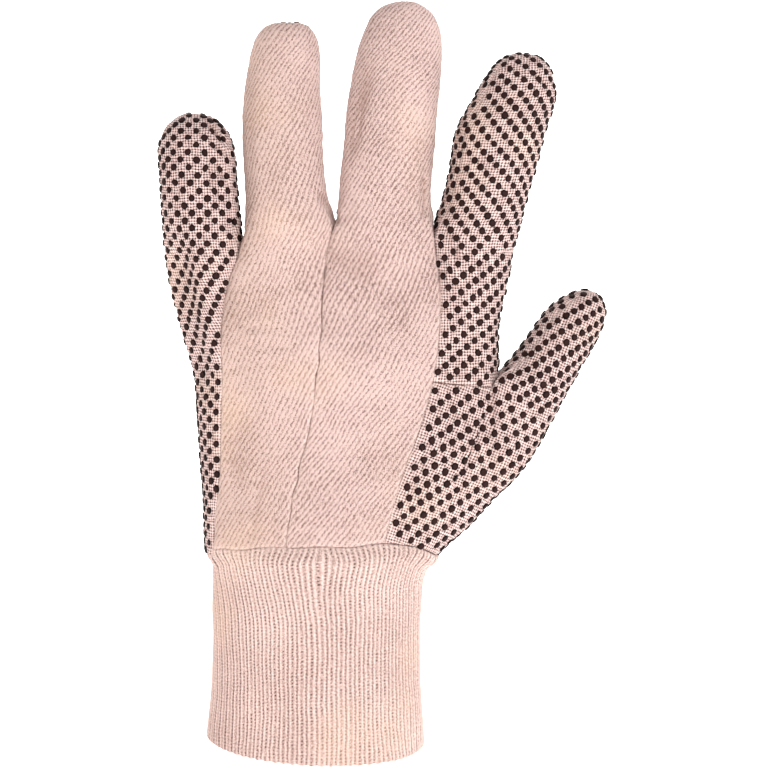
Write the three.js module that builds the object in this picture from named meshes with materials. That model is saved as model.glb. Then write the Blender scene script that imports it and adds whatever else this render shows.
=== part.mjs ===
import * as THREE from 'three';

// Sewn work glove for the left hand, shown as a hand fills it. Millimetres, fingers up along +Z, the back of
// the hand towards -Y and the thumb towards +X. The origin is the middle of the cuff's opening.

// Driving dimensions
const clothThickness = 1.2;
const cuffThickness = 2.0;
const seamGap = 0.3;
const rimTilt = 2.4;
const rimDroop = 1.3;
const webDip = 5;
const dorsalFlatness = 0.92;
const palmFullness = 1.06;

// The tables below measure heights from this far above the rim's lowest point
const lift = 3.7;

// Mesh steps: columns over the back of one finger, columns round one side and how many of those are drill on
// the ring and middle fingers, rows of each stretch
const fingerColumns = 4;
const sideColumns = 4;
const drillColumns = 3;
const cuffRows = 6;
const lowerHandRows = 7;
const upperHandRows = 6;
const webRows = 3;
const fingerRows = 3;
const tipRows = 5;

// A finger's side begins at this angle from the middle of its side
const cornerAngle = THREE.MathUtils.degToRad(37);
const cornerCos = Math.cos(cornerAngle);
const cornerSin = Math.sin(cornerAngle);

// Outline and seam lines of the hand at each height: x of the outer edge, of the four lines between the
// digits, of the thumb's outer edge and of the index finger's edge, and half the depth
const handLevels = [
  { z: 66, outer: -38.9, ringSeam: -36.4, centreSeam: -9.9, middleSeam: 23.0, thumbLine: 33.0,
    thumbEdge: 42.8, indexEdge: 62.0, halfDepth: 24.5 },
  { z: 82, outer: -39.4, ringSeam: -34.7, centreSeam: -8.7, middleSeam: 26.1, thumbLine: 42.0,
    thumbEdge: 58.9, indexEdge: 63.0, halfDepth: 22.8 },
  { z: 97, outer: -40.3, ringSeam: -33.0, centreSeam: -5.5, middleSeam: 30.5, thumbLine: 50.0,
    thumbEdge: 73.0, indexEdge: 64.0, halfDepth: 20.8 },
  { z: 112, outer: -41.2, ringSeam: -32.5, centreSeam: -2.1, middleSeam: 36.1, thumbLine: 56.5,
    thumbEdge: 81.8, indexEdge: 64.2, halfDepth: 19.0 },
  { z: 128, outer: -42.3, ringSeam: -32.1, centreSeam: 0.5, middleSeam: 40.6, thumbLine: 61.6,
    thumbEdge: 91.0, indexEdge: 63.6, halfDepth: 17.4 },
  { z: 145, outer: -47.0, ringSeam: -32.3, centreSeam: 2.1, middleSeam: 42.8, thumbLine: 64.0,
    thumbEdge: 100.0, indexEdge: 64.1, halfDepth: 16.0 },
  { z: 160, outer: -50.7, ringSeam: -30.3, centreSeam: 2.9, middleSeam: 42.9, thumbLine: 64.0,
    thumbEdge: 100.0, indexEdge: 66.6, halfDepth: 14.8 },
  { z: 175, outer: -52.6, ringSeam: -25.0, centreSeam: 4.8, middleSeam: 41.2, thumbLine: 64.0,
    thumbEdge: 100.0, indexEdge: 69.2, halfDepth: 13.4 },
  { z: 183, outer: -53.0, ringSeam: -24.4, centreSeam: 7.3, middleSeam: 41.0, thumbLine: 64.0,
    thumbEdge: 100.0, indexEdge: 72.0, halfDepth: 12.6 },
];
const digitLines = ['outer', 'ringSeam', 'centreSeam', 'middleSeam', 'thumbLine', 'thumbEdge'];

// Where the rows across the hand begin and end, one height for each line between digits
const cuffSeamHeights = [67.5, 69.5, 71.3, 72.4, 71.0, 66.5];
const thumbRowHeights = [120, 123, 125, 127.5, 125.2, 114];
const fingerRowHeights = [170, 168, 178.3, 176.3, 172];

// Highest point of the cloth between two digits
const webs = {
  littleRing: { x: -24.6, y: 0, z: 173.0 },
  ringMiddle: { x: 7.2, y: 0, z: 183.0 },
  middleIndex: { x: 41.1, y: 0, z: 181.3 },
  indexThumb: { x: 64.0, y: 0.5, z: 130.2 },
};

// Cuff outline: x of its left and right edge, half its depth and how boxy its section is
const cuffLevels = [
  { z: 0, left: -37.9, right: 37.4, halfDepth: 24.0, boxiness: 2.1 },
  { z: 16, left: -36.4, right: 36.3, halfDepth: 23.4, boxiness: 2.1 },
  { z: 34, left: -35.8, right: 35.8, halfDepth: 23.1, boxiness: 2.1 },
  { z: 56, left: -36.0, right: 36.9, halfDepth: 23.4, boxiness: 2.2 },
  { z: 66, left: -36.4, right: 40.6, halfDepth: 24.2, boxiness: 2.4 },
];

// Middle line and half sizes of each digit, by height. across is the direction over its back.
const upright = new THREE.Vector3(1, 0, 0);
const leaning = new THREE.Vector3(0.81, 0, -0.586).normalize();
const digits = [
  { name: 'little', across: upright, tipZ: 219.6, tipX: -42.6, tipY: 6.5, capHeight: 17, firstZ: 184, tipPower: 2.3,
    levels: [
      { z: 175, x: -38.9, y: 0, halfWidth: 13.6, halfDepth: 10.4 },
      { z: 191, x: -40.2, y: 1.0, halfWidth: 13.4, halfDepth: 10.2 },
      { z: 206, x: -41.3, y: 3.6, halfWidth: 13.3, halfDepth: 9.8 },
      { z: 219.6, x: -42.1, y: 6.5, halfWidth: 12.8, halfDepth: 9.4 },
    ] },
  { name: 'ring', across: upright, tipZ: 250.8, tipX: -9.6, tipY: 8.5, capHeight: 23, firstZ: 193, tipPower: 3.4,
    levels: [
      { z: 187, x: -9.7, y: 0.2, halfWidth: 14.4, halfDepth: 11.0 },
      { z: 200, x: -10.9, y: 1.2, halfWidth: 13.8, halfDepth: 10.9 },
      { z: 216, x: -11.5, y: 3.4, halfWidth: 13.9, halfDepth: 10.7 },
      { z: 230, x: -11.3, y: 6.0, halfWidth: 13.1, halfDepth: 10.2 },
      { z: 250.8, x: -10.3, y: 8.5, halfWidth: 12.2, halfDepth: 9.6 },
    ] },
  { name: 'middle', across: upright, tipZ: 257.9, tipX: 30.5, tipY: 8.0, capHeight: 22, firstZ: 193, tipPower: 2.6,
    levels: [
      { z: 187, x: 23.4, y: 0.2, halfWidth: 15.9, halfDepth: 11.8 },
      { z: 206, x: 25.2, y: 1.4, halfWidth: 15.9, halfDepth: 11.6 },
      { z: 225, x: 26.9, y: 3.8, halfWidth: 15.5, halfDepth: 11.2 },
      { z: 241, x: 28.9, y: 6.2, halfWidth: 14.8, halfDepth: 10.6 },
      { z: 257.9, x: 29.8, y: 8.0, halfWidth: 14.2, halfDepth: 10.2 },
    ] },
  { name: 'index', across: upright, tipZ: 240.2, tipX: 71.5, tipY: 7.0, capHeight: 25, firstZ: 191, tipPower: 2.4,
    levels: [
      { z: 183, x: 57.0, y: 0.2, halfWidth: 14.9, halfDepth: 11.4 },
      { z: 200, x: 61.1, y: 1.4, halfWidth: 14.9, halfDepth: 11.3 },
      { z: 214, x: 64.4, y: 3.4, halfWidth: 15.4, halfDepth: 11.0 },
      { z: 226, x: 69.2, y: 5.4, halfWidth: 14.6, halfDepth: 10.6 },
      { z: 240.2, x: 71.6, y: 7.0, halfWidth: 14.2, halfDepth: 10.2 },
    ] },
  { name: 'thumb', across: leaning, tipZ: 156.6, tipX: 97.4, tipY: 6.5, capHeight: 14, firstZ: 131, tipPower: 2.3,
    levels: [
      { z: 121.6, x: 73.4, y: 0.8, halfWidth: 12.0, halfDepth: 11.6 },
      { z: 135, x: 82.0, y: 2.4, halfWidth: 10.9, halfDepth: 10.6 },
      { z: 145, x: 88.7, y: 4.4, halfWidth: 10.3, halfDepth: 9.9 },
      { z: 156.6, x: 96.9, y: 6.5, halfWidth: 9.8, halfDepth: 9.4 },
    ] },
];

// Depth of the cloth at the lines between digits where the fingers and the thumb begin, and how much the
// middle of each digit stands out from them
const fingerLineDepths = [6.2, 7.2, 7.6, 7.6, 6.9];
const fingerBulges = [4.0, 3.9, 4.2, 4.2];
const thumbLineDepths = [10.7, 7.0];
const thumbBulge = 3.0;

// Mounds of the palm: where they are, how far they spread and how high they stand
const mounds = [
  { x: 46, z: 98, spreadX: 24, spreadZ: 26, height: 5.5 },
  { x: -26, z: 98, spreadX: 17, spreadZ: 32, height: 3.0 },
  { x: 10, z: 120, spreadX: 20, spreadZ: 30, height: -2.5 },
];

// Soft dents of the back: a line from one point to another, its half width and its depth
const dents = [
  { fromX: 61.5, fromZ: 124, toX: 60.5, toZ: 100, halfWidth: 4.0, depth: 1.0 },
  { fromX: -30, fromZ: 96, toX: -18, toZ: 82, halfWidth: 6.0, depth: 0.9 },
  { fromX: 2.5, fromZ: 189, toX: 7.5, toZ: 181, halfWidth: 3.0, depth: 0.9 },
];

const mix = (from, to, share) => from + (to - from) * share;
const clamp01 = (value) => Math.min(1, Math.max(0, value));

function smooth(low, high, value) {
  const share = clamp01((value - low) / (high - low));
  return share * share * (3 - 2 * share);
}

// Smooth curve through one column of a table, straight past its ends
function lookup(levels, column, z) {
  const last = levels.length - 1;
  let i = 0;
  while (i < last - 1 && z > levels[i + 1].z) i += 1;
  const slope = (a, b) => (levels[b][column] - levels[a][column]) / (levels[b].z - levels[a].z);
  const startSlope = slope(Math.max(i - 1, 0), i + 1);
  const endSlope = slope(i, Math.min(i + 2, last));
  const span = levels[i + 1].z - levels[i].z;
  const t = (z - levels[i].z) / span;
  if (t <= 0) return levels[i][column] + startSlope * (z - levels[i].z);
  if (t >= 1) return levels[i + 1][column] + endSlope * (z - levels[i + 1].z);
  const rise = t * t * (3 - 2 * t);
  return mix(levels[i][column], levels[i + 1][column], rise)
    + span * (startSlope * t * (1 - t) * (1 - t) - endSlope * t * t * (1 - t));
}

// Half depth of a boxy oval between two edges
function pillowDepth(x, left, right, halfDepth, boxiness) {
  const reach = Math.min(0.999, Math.abs((2 * x - left - right) / (right - left)));
  return halfDepth * Math.pow(1 - Math.pow(reach, boxiness), 1 / boxiness);
}

// Angles over one digit's back, from its left line to its right line
function backAngle(column) {
  return Math.PI - cornerAngle - (column / fingerColumns) * (Math.PI - 2 * cornerAngle);
}

// Angles round one side, from the back to the palm
function sideAngle(column) {
  return cornerAngle * (1 - (2 * column) / sideColumns);
}

// Share of the way across a digit at a column, and how far that column stands out
const acrossShare = (column) => (1 + Math.cos(backAngle(column)) / cornerCos) / 2;
const standOut = (column) => (Math.sin(backAngle(column)) - cornerSin) / (1 - cornerSin);

function moundHeight(x, z) {
  let height = 0;
  for (const mound of mounds) {
    const dx = (x - mound.x) / mound.spreadX;
    const dz = (z - mound.z) / mound.spreadZ;
    height += mound.height * Math.exp(-dx * dx - dz * dz);
  }
  return height;
}

function dentDepth(x, z) {
  let depth = 0;
  for (const dent of dents) {
    const runX = dent.toX - dent.fromX;
    const runZ = dent.toZ - dent.fromZ;
    const run = Math.hypot(runX, runZ);
    const along = ((x - dent.fromX) * runX + (z - dent.fromZ) * runZ) / run;
    const beside = ((x - dent.fromX) * runZ - (z - dent.fromZ) * runX) / run / dent.halfWidth;
    const past = (along - run / 2) / (run / 2 + dent.halfWidth);
    depth += dent.depth * Math.exp(-beside * beside - past * past * past * past);
  }
  return depth;
}

// A loop across the hand from its lines: back from left to right, right side, palm from right to left, left
// side. Each line has x, z, and the depth of the cloth there; each edge has x and z.
function handLoop(lines, leftEdge, rightEdge, depthAt) {
  const count = lines.length - 1;
  const back = [];
  const palm = [];
  for (let digit = 0; digit < count; digit += 1) {
    for (let column = digit === 0 ? 0 : 1; column <= fingerColumns; column += 1) {
      const share = acrossShare(column);
      const x = mix(lines[digit].x, lines[digit + 1].x, share);
      const z = mix(lines[digit].z, lines[digit + 1].z, share);
      const depth = depthAt(x, z, digit, column);
      const fullness = smooth(175, 150, z);
      back.push(new THREE.Vector3(x, dentDepth(x, z) - depth * mix(1, dorsalFlatness, fullness), z));
      const mound = moundHeight(x, z) * Math.min(1, depth / 18);
      palm.push(new THREE.Vector3(x, depth * mix(1, palmFullness, fullness) + mound, z));
    }
  }
  palm.reverse();
  const rightSide = sideArc(back[back.length - 1], palm[0], rightEdge);
  const leftSide = sideArc(back[0], palm[palm.length - 1], leftEdge).reverse();
  return { back, rightSide, palm, leftSide };
}

// Points between a back line and a palm line, bulging out to the edge point
function sideArc(backPoint, palmPoint, edge) {
  const points = [];
  const middleY = edge.y ?? (backPoint.y + palmPoint.y) / 2;
  for (let column = 1; column < sideColumns; column += 1) {
    const turn = Math.sin(sideAngle(column)) / cornerSin;
    const bow = (1 - Math.cos(sideAngle(column))) / (1 - cornerCos);
    const from = turn > 0 ? backPoint : palmPoint;
    points.push(new THREE.Vector3(
      mix(edge.x, from.x, bow),
      mix(middleY, from.y, Math.abs(turn)),
      mix(edge.z, from.z, bow),
    ));
  }
  return points;
}

const closedLoop = (loop) => [...loop.back, ...loop.rightSide, ...loop.palm, ...loop.leftSide];

// Lower hand: from the cuff seam to the row where the thumb begins
function lowerHandLoop(share) {
  const fork = smooth(0.25, 1, share);
  const inset = mix(1.4, 2.4, fork);
  const lines = digitLines.map((name, line) => {
    const z = mix(cuffSeamHeights[line], thumbRowHeights[line], share);
    return { x: lookup(handLevels, name, z), z };
  });
  const leftEdge = { x: lines[0].x, z: lines[0].z };
  const rightEdge = { x: lines[5].x, z: lines[5].z };
  lines[0].x += inset;
  lines[5].x -= inset;
  const depthAt = (x, z, digit, column) => {
    const halfDepth = lookup(handLevels, 'halfDepth', z);
    const whole = pillowDepth(x, leftEdge.x, rightEdge.x, halfDepth, 2.4);
    const hand = pillowDepth(Math.min(x, 66), leftEdge.x, lookup(handLevels, 'indexEdge', z) + 3, halfDepth, 2.6);
    const thumb = mix(thumbLineDepths[0], thumbLineDepths[1], acrossShare(column))
      + thumbBulge * standOut(column);
    return mix(whole, digit === 4 && column > 0 ? thumb : hand, fork);
  };
  return handLoop(lines, leftEdge, rightEdge, depthAt);
}

// Upper hand: from the row where the thumb begins to the row where the fingers begin
function upperHandLoop(share) {
  const fork = smooth(0.1, 1, share);
  const insets = [mix(2.4, 2.7, fork), mix(3.2, 3.0, fork)];
  const names = ['outer', 'ringSeam', 'centreSeam', 'middleSeam', 'indexEdge'];
  const lines = names.map((name, line) => {
    const z = mix(thumbRowHeights[line], fingerRowHeights[line], share);
    return { x: lookup(handLevels, name, z), z };
  });
  const leftEdge = { x: lines[0].x, z: lines[0].z };
  const rightEdge = { x: lines[4].x, z: lines[4].z + webDip * (1 - share) };
  lines[0].x += insets[0];
  lines[4].x -= insets[1];
  const depthAt = (x, z, digit, column) => {
    const halfDepth = lookup(handLevels, 'halfDepth', z);
    const hand = pillowDepth(x, leftEdge.x, rightEdge.x + 3 * (1 - share), halfDepth, 2.6);
    const fingers = mix(fingerLineDepths[digit], fingerLineDepths[digit + 1], acrossShare(column))
      + fingerBulges[digit] * standOut(column);
    return mix(hand, fingers, fork);
  };
  return handLoop(lines, leftEdge, rightEdge, depthAt);
}

// Cuff loop: the same columns as the hand's first row, moved onto the cuff's oval
function cuffLoop(share, topLoop) {
  const ease = 1 - share;
  return closedLoop(topLoop).map((top) => {
    const level = mix(0, top.z, share);
    const left = lookup(cuffLevels, 'left', level);
    const right = lookup(cuffLevels, 'right', level);
    const halfDepth = lookup(cuffLevels, 'halfDepth', level);
    const boxiness = lookup(cuffLevels, 'boxiness', level);
    const topAngle = Math.atan2(-top.y / 24.4, (top.x - 2.2) / 41.2);
    const cos = Math.cos(topAngle);
    const sin = Math.sin(topAngle);
    const power = 2 / boxiness;
    const oval = new THREE.Vector3(
      (left + right) / 2 + ((right - left) / 2) * Math.sign(cos) * Math.pow(Math.abs(cos), power),
      -halfDepth * Math.sign(sin) * Math.pow(Math.abs(sin), power),
      0,
    );
    const settle = smooth(0.92, 1, share);
    const x = mix(oval.x, top.x, settle);
    const y = mix(oval.y, top.y, settle);
    const front = y / 24;
    return new THREE.Vector3(x, y, level + ease * (rimTilt * front - rimDroop * front * front));
  });
}

// Section of a digit at a height of its middle line, shrunk towards the tip by scale
function digitSection(digit, z, scale) {
  const centre = new THREE.Vector3(lookup(digit.levels, 'x', z), lookup(digit.levels, 'y', z), z);
  const halfWidth = lookup(digit.levels, 'halfWidth', z) * scale;
  const halfDepth = lookup(digit.levels, 'halfDepth', z) * scale;
  const at = (angle) => centre.clone()
    .addScaledVector(digit.across, halfWidth * Math.cos(angle))
    .add(new THREE.Vector3(0, -halfDepth * Math.sin(angle), 0));
  const points = [];
  for (let column = 0; column <= fingerColumns; column += 1) points.push(at(backAngle(column)));
  for (let column = 1; column < sideColumns; column += 1) points.push(at(sideAngle(column)));
  for (let column = fingerColumns; column >= 0; column -= 1) points.push(at(-backAngle(column)));
  for (let column = sideColumns - 1; column > 0; column -= 1) points.push(at(Math.PI - sideAngle(column)));
  return points;
}

// Loops of a digit from its base loop to the last one before the tip point
function digitLoops(digit, base, below, freeSides) {
  const first = digitSection(digit, digit.firstZ, 1);
  const next = digitSection(digit, digit.firstZ + 1, 1);
  const loops = [base];
  for (let row = 1; row < webRows; row += 1) {
    const t = row / webRows;
    loops.push(base.map((start, column) => {
      const end = first[column];
      const span = start.distanceTo(end);
      const onward = end.clone().sub(start).normalize();
      const rising = start.clone().sub(below[column] ?? start).normalize();
      const hold = freeSides.has(column) ? 1 : 0;
      const startPull = onward.lerp(rising, hold).multiplyScalar(span);
      const endPull = next[column].clone().sub(end).normalize().multiplyScalar(span);
      const rise = t * t * (3 - 2 * t);
      return start.clone().lerp(end, rise)
        .addScaledVector(startPull, t * (1 - t) * (1 - t))
        .addScaledVector(endPull, -t * t * (1 - t));
    }));
  }
  const capStart = digit.tipZ - digit.capHeight;
  for (let row = 0; row < fingerRows; row += 1) {
    const z = mix(digit.firstZ, capStart, row / fingerRows);
    loops.push(digitSection(digit, z, 1));
  }
  for (let row = 0; row < tipRows; row += 1) {
    const angle = (row / tipRows) * Math.PI / 2;
    const power = 2 / digit.tipPower;
    const z = capStart + digit.capHeight * Math.pow(Math.sin(angle), power);
    loops.push(digitSection(digit, z, Math.pow(Math.cos(angle), power)));
  }
  return loops;
}

// All faces of the glove's outer surface, each with the name of the cloth piece it belongs to
const surfacePoints = [];
const surfaceFaces = [];
const pointNumbers = new Map();

function pointNumber(point) {
  const key = [point.x, point.y, point.z].map((value) => Math.round(value * 1e4)).join(',');
  if (!pointNumbers.has(key)) {
    pointNumbers.set(key, surfacePoints.length);
    surfacePoints.push(point.clone());
  }
  return pointNumbers.get(key);
}

function addBand(lower, upper, pieceAt) {
  const count = lower.length;
  for (let i = 0; i < count; i += 1) {
    const j = (i + 1) % count;
    const piece = pieceAt(i);
    if (piece === null) continue;
    const face = [lower[i], lower[j], upper[j], upper[i]].map(pointNumber);
    surfaceFaces.push({ piece, face });
  }
}

function addTip(loop, tip, pieceAt) {
  for (let i = 0; i < loop.length; i += 1) {
    const face = [loop[i], loop[(i + 1) % loop.length], tip].map(pointNumber);
    surfaceFaces.push({ piece: pieceAt(i), face });
  }
}

// Which cloth piece covers a column of the hand: on the back the panels differ, and below the thumb's row
// the index columns belong to the thumb's wing
function handPiece(digitCount, wing) {
  const backNames = ['palm', 'back_ring', 'back_middle', wing, 'thumb'];
  const backCount = digitCount * fingerColumns;
  const palmStart = backCount + sideColumns;
  return (i) => {
    if (i < backCount) return backNames[Math.floor(i / fingerColumns)];
    if (i < palmStart) return wing;
    const fromRight = Math.floor((i - palmStart) / fingerColumns);
    if (digitCount === 5 && fromRight === 0) return 'thumb';
    return 'palm';
  };
}

// A finger with a drill back: its back and most of its sides are drill
function digitPiece(panel) {
  const loopLength = 2 * (fingerColumns + sideColumns);
  return (i) => {
    if (panel === 'palm' || panel === 'thumb') return panel;
    return i < fingerColumns + drillColumns || i >= loopLength - drillColumns ? panel : 'palm';
  };
}

// Closed wall of one cloth piece: its outer faces, the same faces one thickness further in, and an edge
// all round. Its edges stand back from the seam by half the seam gap.
function pieceWall(piece, thickness, normals) {
  const faces = surfaceFaces.filter((entry) => entry.piece === piece).map((entry) => entry.face);
  const edges = new Map();
  for (const face of faces) {
    face.forEach((from, i) => {
      const to = face[(i + 1) % face.length];
      if (edges.has(`${to},${from}`)) edges.delete(`${to},${from}`);
      else edges.set(`${from},${to}`, { from, to });
    });
  }
  const inward = new Map();
  for (const { from, to } of edges.values()) {
    const run = surfacePoints[to].clone().sub(surfacePoints[from]).normalize();
    for (const corner of [from, to]) {
      const side = normals[corner].clone().cross(run).normalize();
      if (!inward.has(corner)) inward.set(corner, []);
      inward.get(corner).push(side);
    }
  }
  const outerPoints = [];
  const innerPoints = [];
  const numbers = new Map();
  for (const number of new Set(faces.flat())) {
    const point = surfacePoints[number].clone();
    const sides = inward.get(number);
    if (sides) {
      const direction = sides.reduce((sum, side) => sum.add(side), new THREE.Vector3()).normalize();
      const reach = Math.max(0.35, direction.dot(sides[0]));
      point.addScaledVector(direction, seamGap / 2 / reach);
    }
    numbers.set(number, outerPoints.length);
    outerPoints.push(point);
    innerPoints.push(point.clone().addScaledVector(normals[number], -thickness));
  }
  const count = outerPoints.length;
  const triangles = [];
  const addFace = (corners) => {
    for (let i = 1; i < corners.length - 1; i += 1) triangles.push(corners[0], corners[i], corners[i + 1]);
  };
  for (const face of faces) {
    const outer = face.map((number) => numbers.get(number));
    addFace(outer);
    addFace(outer.map((number) => number + count).reverse());
  }
  for (const { from, to } of edges.values()) {
    const a = numbers.get(from);
    const b = numbers.get(to);
    addFace([b, a, a + count, b + count]);
  }
  const geometry = new THREE.BufferGeometry();
  const positions = [...outerPoints, ...innerPoints].flatMap((point) => [point.x, point.y, point.z + lift]);
  geometry.setAttribute('position', new THREE.Float32BufferAttribute(positions, 3));
  geometry.setIndex(triangles);
  geometry.computeVertexNormals();
  return geometry;
}

// Mean direction of the faces round each point
function pointNormals() {
  const normals = surfacePoints.map(() => new THREE.Vector3());
  for (const { face } of surfaceFaces) {
    for (let i = 1; i < face.length - 1; i += 1) {
      const [a, b, c] = [face[0], face[i], face[i + 1]].map((number) => surfacePoints[number]);
      const areaNormal = b.clone().sub(a).cross(c.clone().sub(a));
      for (const number of face) normals[number].add(areaNormal);
    }
  }
  return normals.map((normal) => normal.normalize());
}

// Rows of the hand, from the cuff seam up
const lowerLoops = [];
for (let row = 0; row <= lowerHandRows; row += 1) lowerLoops.push(lowerHandLoop(row / lowerHandRows));
const thumbRow = lowerLoops[lowerHandRows];
const upperLoops = [];
const fourFingers = 4 * fingerColumns;
const webApex = (web) => new THREE.Vector3(web.x, web.y, web.z);
const thumbWeb = sideArc(
  thumbRow.back[fourFingers],
  thumbRow.palm[fingerColumns],
  webApex(webs.indexThumb),
);
upperLoops.push({
  back: thumbRow.back.slice(0, fourFingers + 1),
  rightSide: thumbWeb,
  palm: thumbRow.palm.slice(fingerColumns),
  leftSide: thumbRow.leftSide,
});
for (let row = 1; row <= upperHandRows; row += 1) upperLoops.push(upperHandLoop(row / upperHandRows));
const fingerRow = upperLoops[upperHandRows];

for (let row = 0; row < cuffRows; row += 1) {
  const lower = cuffLoop(row / cuffRows, lowerLoops[0]);
  const upper = row + 1 === cuffRows
    ? closedLoop(lowerLoops[0])
    : cuffLoop((row + 1) / cuffRows, lowerLoops[0]);
  addBand(lower, upper, () => 'cuff');
}
for (let row = 0; row < lowerHandRows; row += 1) {
  addBand(closedLoop(lowerLoops[row]), closedLoop(lowerLoops[row + 1]), handPiece(5, 'thumb'));
}
for (let row = 0; row < upperHandRows; row += 1) {
  addBand(closedLoop(upperLoops[row]), closedLoop(upperLoops[row + 1]), handPiece(4, 'palm'));
}

// The four fingers and the thumb, each on its stretch of the last row
const fingerWebs = [webs.littleRing, webs.ringMiddle, webs.middleIndex];
const panels = ['palm', 'back_ring', 'back_middle', 'palm', 'thumb'];
digits.forEach((digit, number) => {
  const isThumb = digit.name === 'thumb';
  const row = isThumb ? thumbRow : fingerRow;
  const under = isThumb ? lowerLoops[lowerHandRows - 1] : upperLoops[upperHandRows - 1];
  const last = row.palm.length - 1;
  const from = number * fingerColumns;
  const cut = (loop) => ({
    back: loop.back.slice(from, from + fingerColumns + 1),
    palm: loop.palm.slice(last - from - fingerColumns, last - from + 1),
  });
  const top = cut(row);
  const low = cut(under);
  const openRight = number >= 3;
  const openLeft = number === 0;
  const rightSide = openRight
    ? row.rightSide
    : sideArc(top.back[fingerColumns], top.palm[0], webApex(fingerWebs[number]));
  let leftSide = row.leftSide;
  if (isThumb) leftSide = [...thumbWeb].reverse();
  else if (!openLeft) {
    leftSide = sideArc(top.back[0], top.palm[fingerColumns], webApex(fingerWebs[number - 1])).reverse();
  }
  const base = [...top.back, ...rightSide, ...top.palm, ...leftSide];
  const none = new Array(sideColumns - 1).fill(undefined);
  const below = [
    ...low.back,
    ...(openRight ? under.rightSide : none),
    ...low.palm,
    ...(openLeft ? under.leftSide : none),
  ];
  const freeSides = new Set();
  below.forEach((point, column) => {
    if (point !== undefined) freeSides.add(column);
  });
  const loops = digitLoops(digit, base, below, freeSides);
  const pieceAt = digitPiece(panels[number]);
  for (let i = 0; i + 1 < loops.length; i += 1) addBand(loops[i], loops[i + 1], pieceAt);
  addTip(loops[loops.length - 1], new THREE.Vector3(digit.tipX, digit.tipY, digit.tipZ), pieceAt);
});

// The five cloth pieces
const canvas = { color: 0xd8c0bb, roughness: 0.92, metalness: 0 };
const drill = { color: 0xe3c7bf, roughness: 0.94, metalness: 0 };
const knit = { color: 0xe5cac1, roughness: 0.96, metalness: 0 };
const pieces = [
  { name: 'cuff', thickness: cuffThickness, cloth: knit },
  { name: 'palm', thickness: clothThickness, cloth: canvas },
  { name: 'back_ring', thickness: clothThickness, cloth: drill },
  { name: 'back_middle', thickness: clothThickness, cloth: drill },
  { name: 'thumb', thickness: clothThickness, cloth: canvas },
];

const glove = new THREE.Group();
const normals = pointNormals();
for (const piece of pieces) {
  const material = new THREE.MeshStandardMaterial(piece.cloth);
  const mesh = new THREE.Mesh(pieceWall(piece.name, piece.thickness, normals), material);
  mesh.name = piece.name;
  glove.add(mesh);
}

export default glove;
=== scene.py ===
"""Sewn work glove: drill back, dotted canvas palm and thumb, rib-knit cuff, in the form a hand gives it.

Shapes are worked out in millimetres and turned into metres where a mesh is made. Fingers point up along +Z,
the back of the hand faces -Y and the thumb points to +X.
"""

import bpy
import numpy as np
from math import cos, pi, radians, sin
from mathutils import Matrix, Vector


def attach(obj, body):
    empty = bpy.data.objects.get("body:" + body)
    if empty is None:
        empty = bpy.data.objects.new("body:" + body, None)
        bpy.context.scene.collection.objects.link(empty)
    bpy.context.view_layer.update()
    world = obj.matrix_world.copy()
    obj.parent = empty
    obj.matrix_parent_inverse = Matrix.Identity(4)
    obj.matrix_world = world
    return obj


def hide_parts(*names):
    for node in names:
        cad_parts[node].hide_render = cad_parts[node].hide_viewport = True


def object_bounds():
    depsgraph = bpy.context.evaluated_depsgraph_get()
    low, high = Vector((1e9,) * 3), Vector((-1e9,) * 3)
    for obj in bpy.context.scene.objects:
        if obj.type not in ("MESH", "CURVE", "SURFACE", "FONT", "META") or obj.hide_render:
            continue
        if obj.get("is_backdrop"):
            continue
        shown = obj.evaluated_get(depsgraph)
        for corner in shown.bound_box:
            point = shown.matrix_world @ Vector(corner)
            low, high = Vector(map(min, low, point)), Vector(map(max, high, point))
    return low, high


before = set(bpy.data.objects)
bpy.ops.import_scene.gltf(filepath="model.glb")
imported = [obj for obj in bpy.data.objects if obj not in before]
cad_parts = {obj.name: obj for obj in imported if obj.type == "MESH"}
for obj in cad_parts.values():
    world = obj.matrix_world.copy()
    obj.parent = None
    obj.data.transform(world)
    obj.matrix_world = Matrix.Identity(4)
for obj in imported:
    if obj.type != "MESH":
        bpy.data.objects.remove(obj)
cad_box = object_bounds()

# Driving sizes of the cloth, in millimetres
MM = 0.001
CLOTH_THICKNESS = 1.1
CUFF_THICKNESS = 2.0
RIM_TILT = 2.4
RIM_DROOP = 1.3
RIM_SLANT = 0.042
RIM_DEPTH = 24.0
SEAM_TWIST = -3.2
LEFT_LEAN = 3.0
LEFT_LEAN_REACH = 24.0
WEB_DIP = 5.0
BACK_FLATNESS = 0.92
PALM_FULLNESS = 1.06
DOT_RADIUS = 1.13
THUMB_DOT_RADIUS = 1.19
DOT_HEIGHT = 0.45
DOT_SPACE = 2.5
PATCH_DOT_SPACE = 2.3
DOT_FROM_SEAM = 0.45
DOT_WANDER = 0.55
RIB_WIDTH = 3.16

# The tables measure heights from this far above the rim's lowest point
LIFT = 3.7

# Half sizes of the ovals that the ribs are spaced on, in the cuff and at its seam, and the seam oval's middle
CUFF_OVAL = (36.3, 23.3)
SEAM_OVAL = (41.2, 24.4)
SEAM_MIDDLE = 2.2

# Fold beside the little finger's base, as x and z of its ends, and how far the canvas steps back past it
OUTER_FOLD = ((-43.5, 168.3), (-36.5, 128.7))
OUTER_STEP = 4.6

# Mesh steps: over the back of one digit, round one side and how many of those are drill on the ring and
# middle fingers, and along each stretch
BACK_STEPS = 28
SIDE_STEPS = 28
DRILL_STEPS = 21
LOWER_ROWS = 64
UPPER_ROWS = 54
WEB_ROWS = 16
BODY_STEP = 0.85
TIP_ROWS = 24
RIB_COUNT = 60
RIB_STEPS = 12
CUFF_ROWS = 100
INNER_CUFF_ROWS = 12
RIM_STEPS = 5
DOT_SIDES = 12

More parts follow.
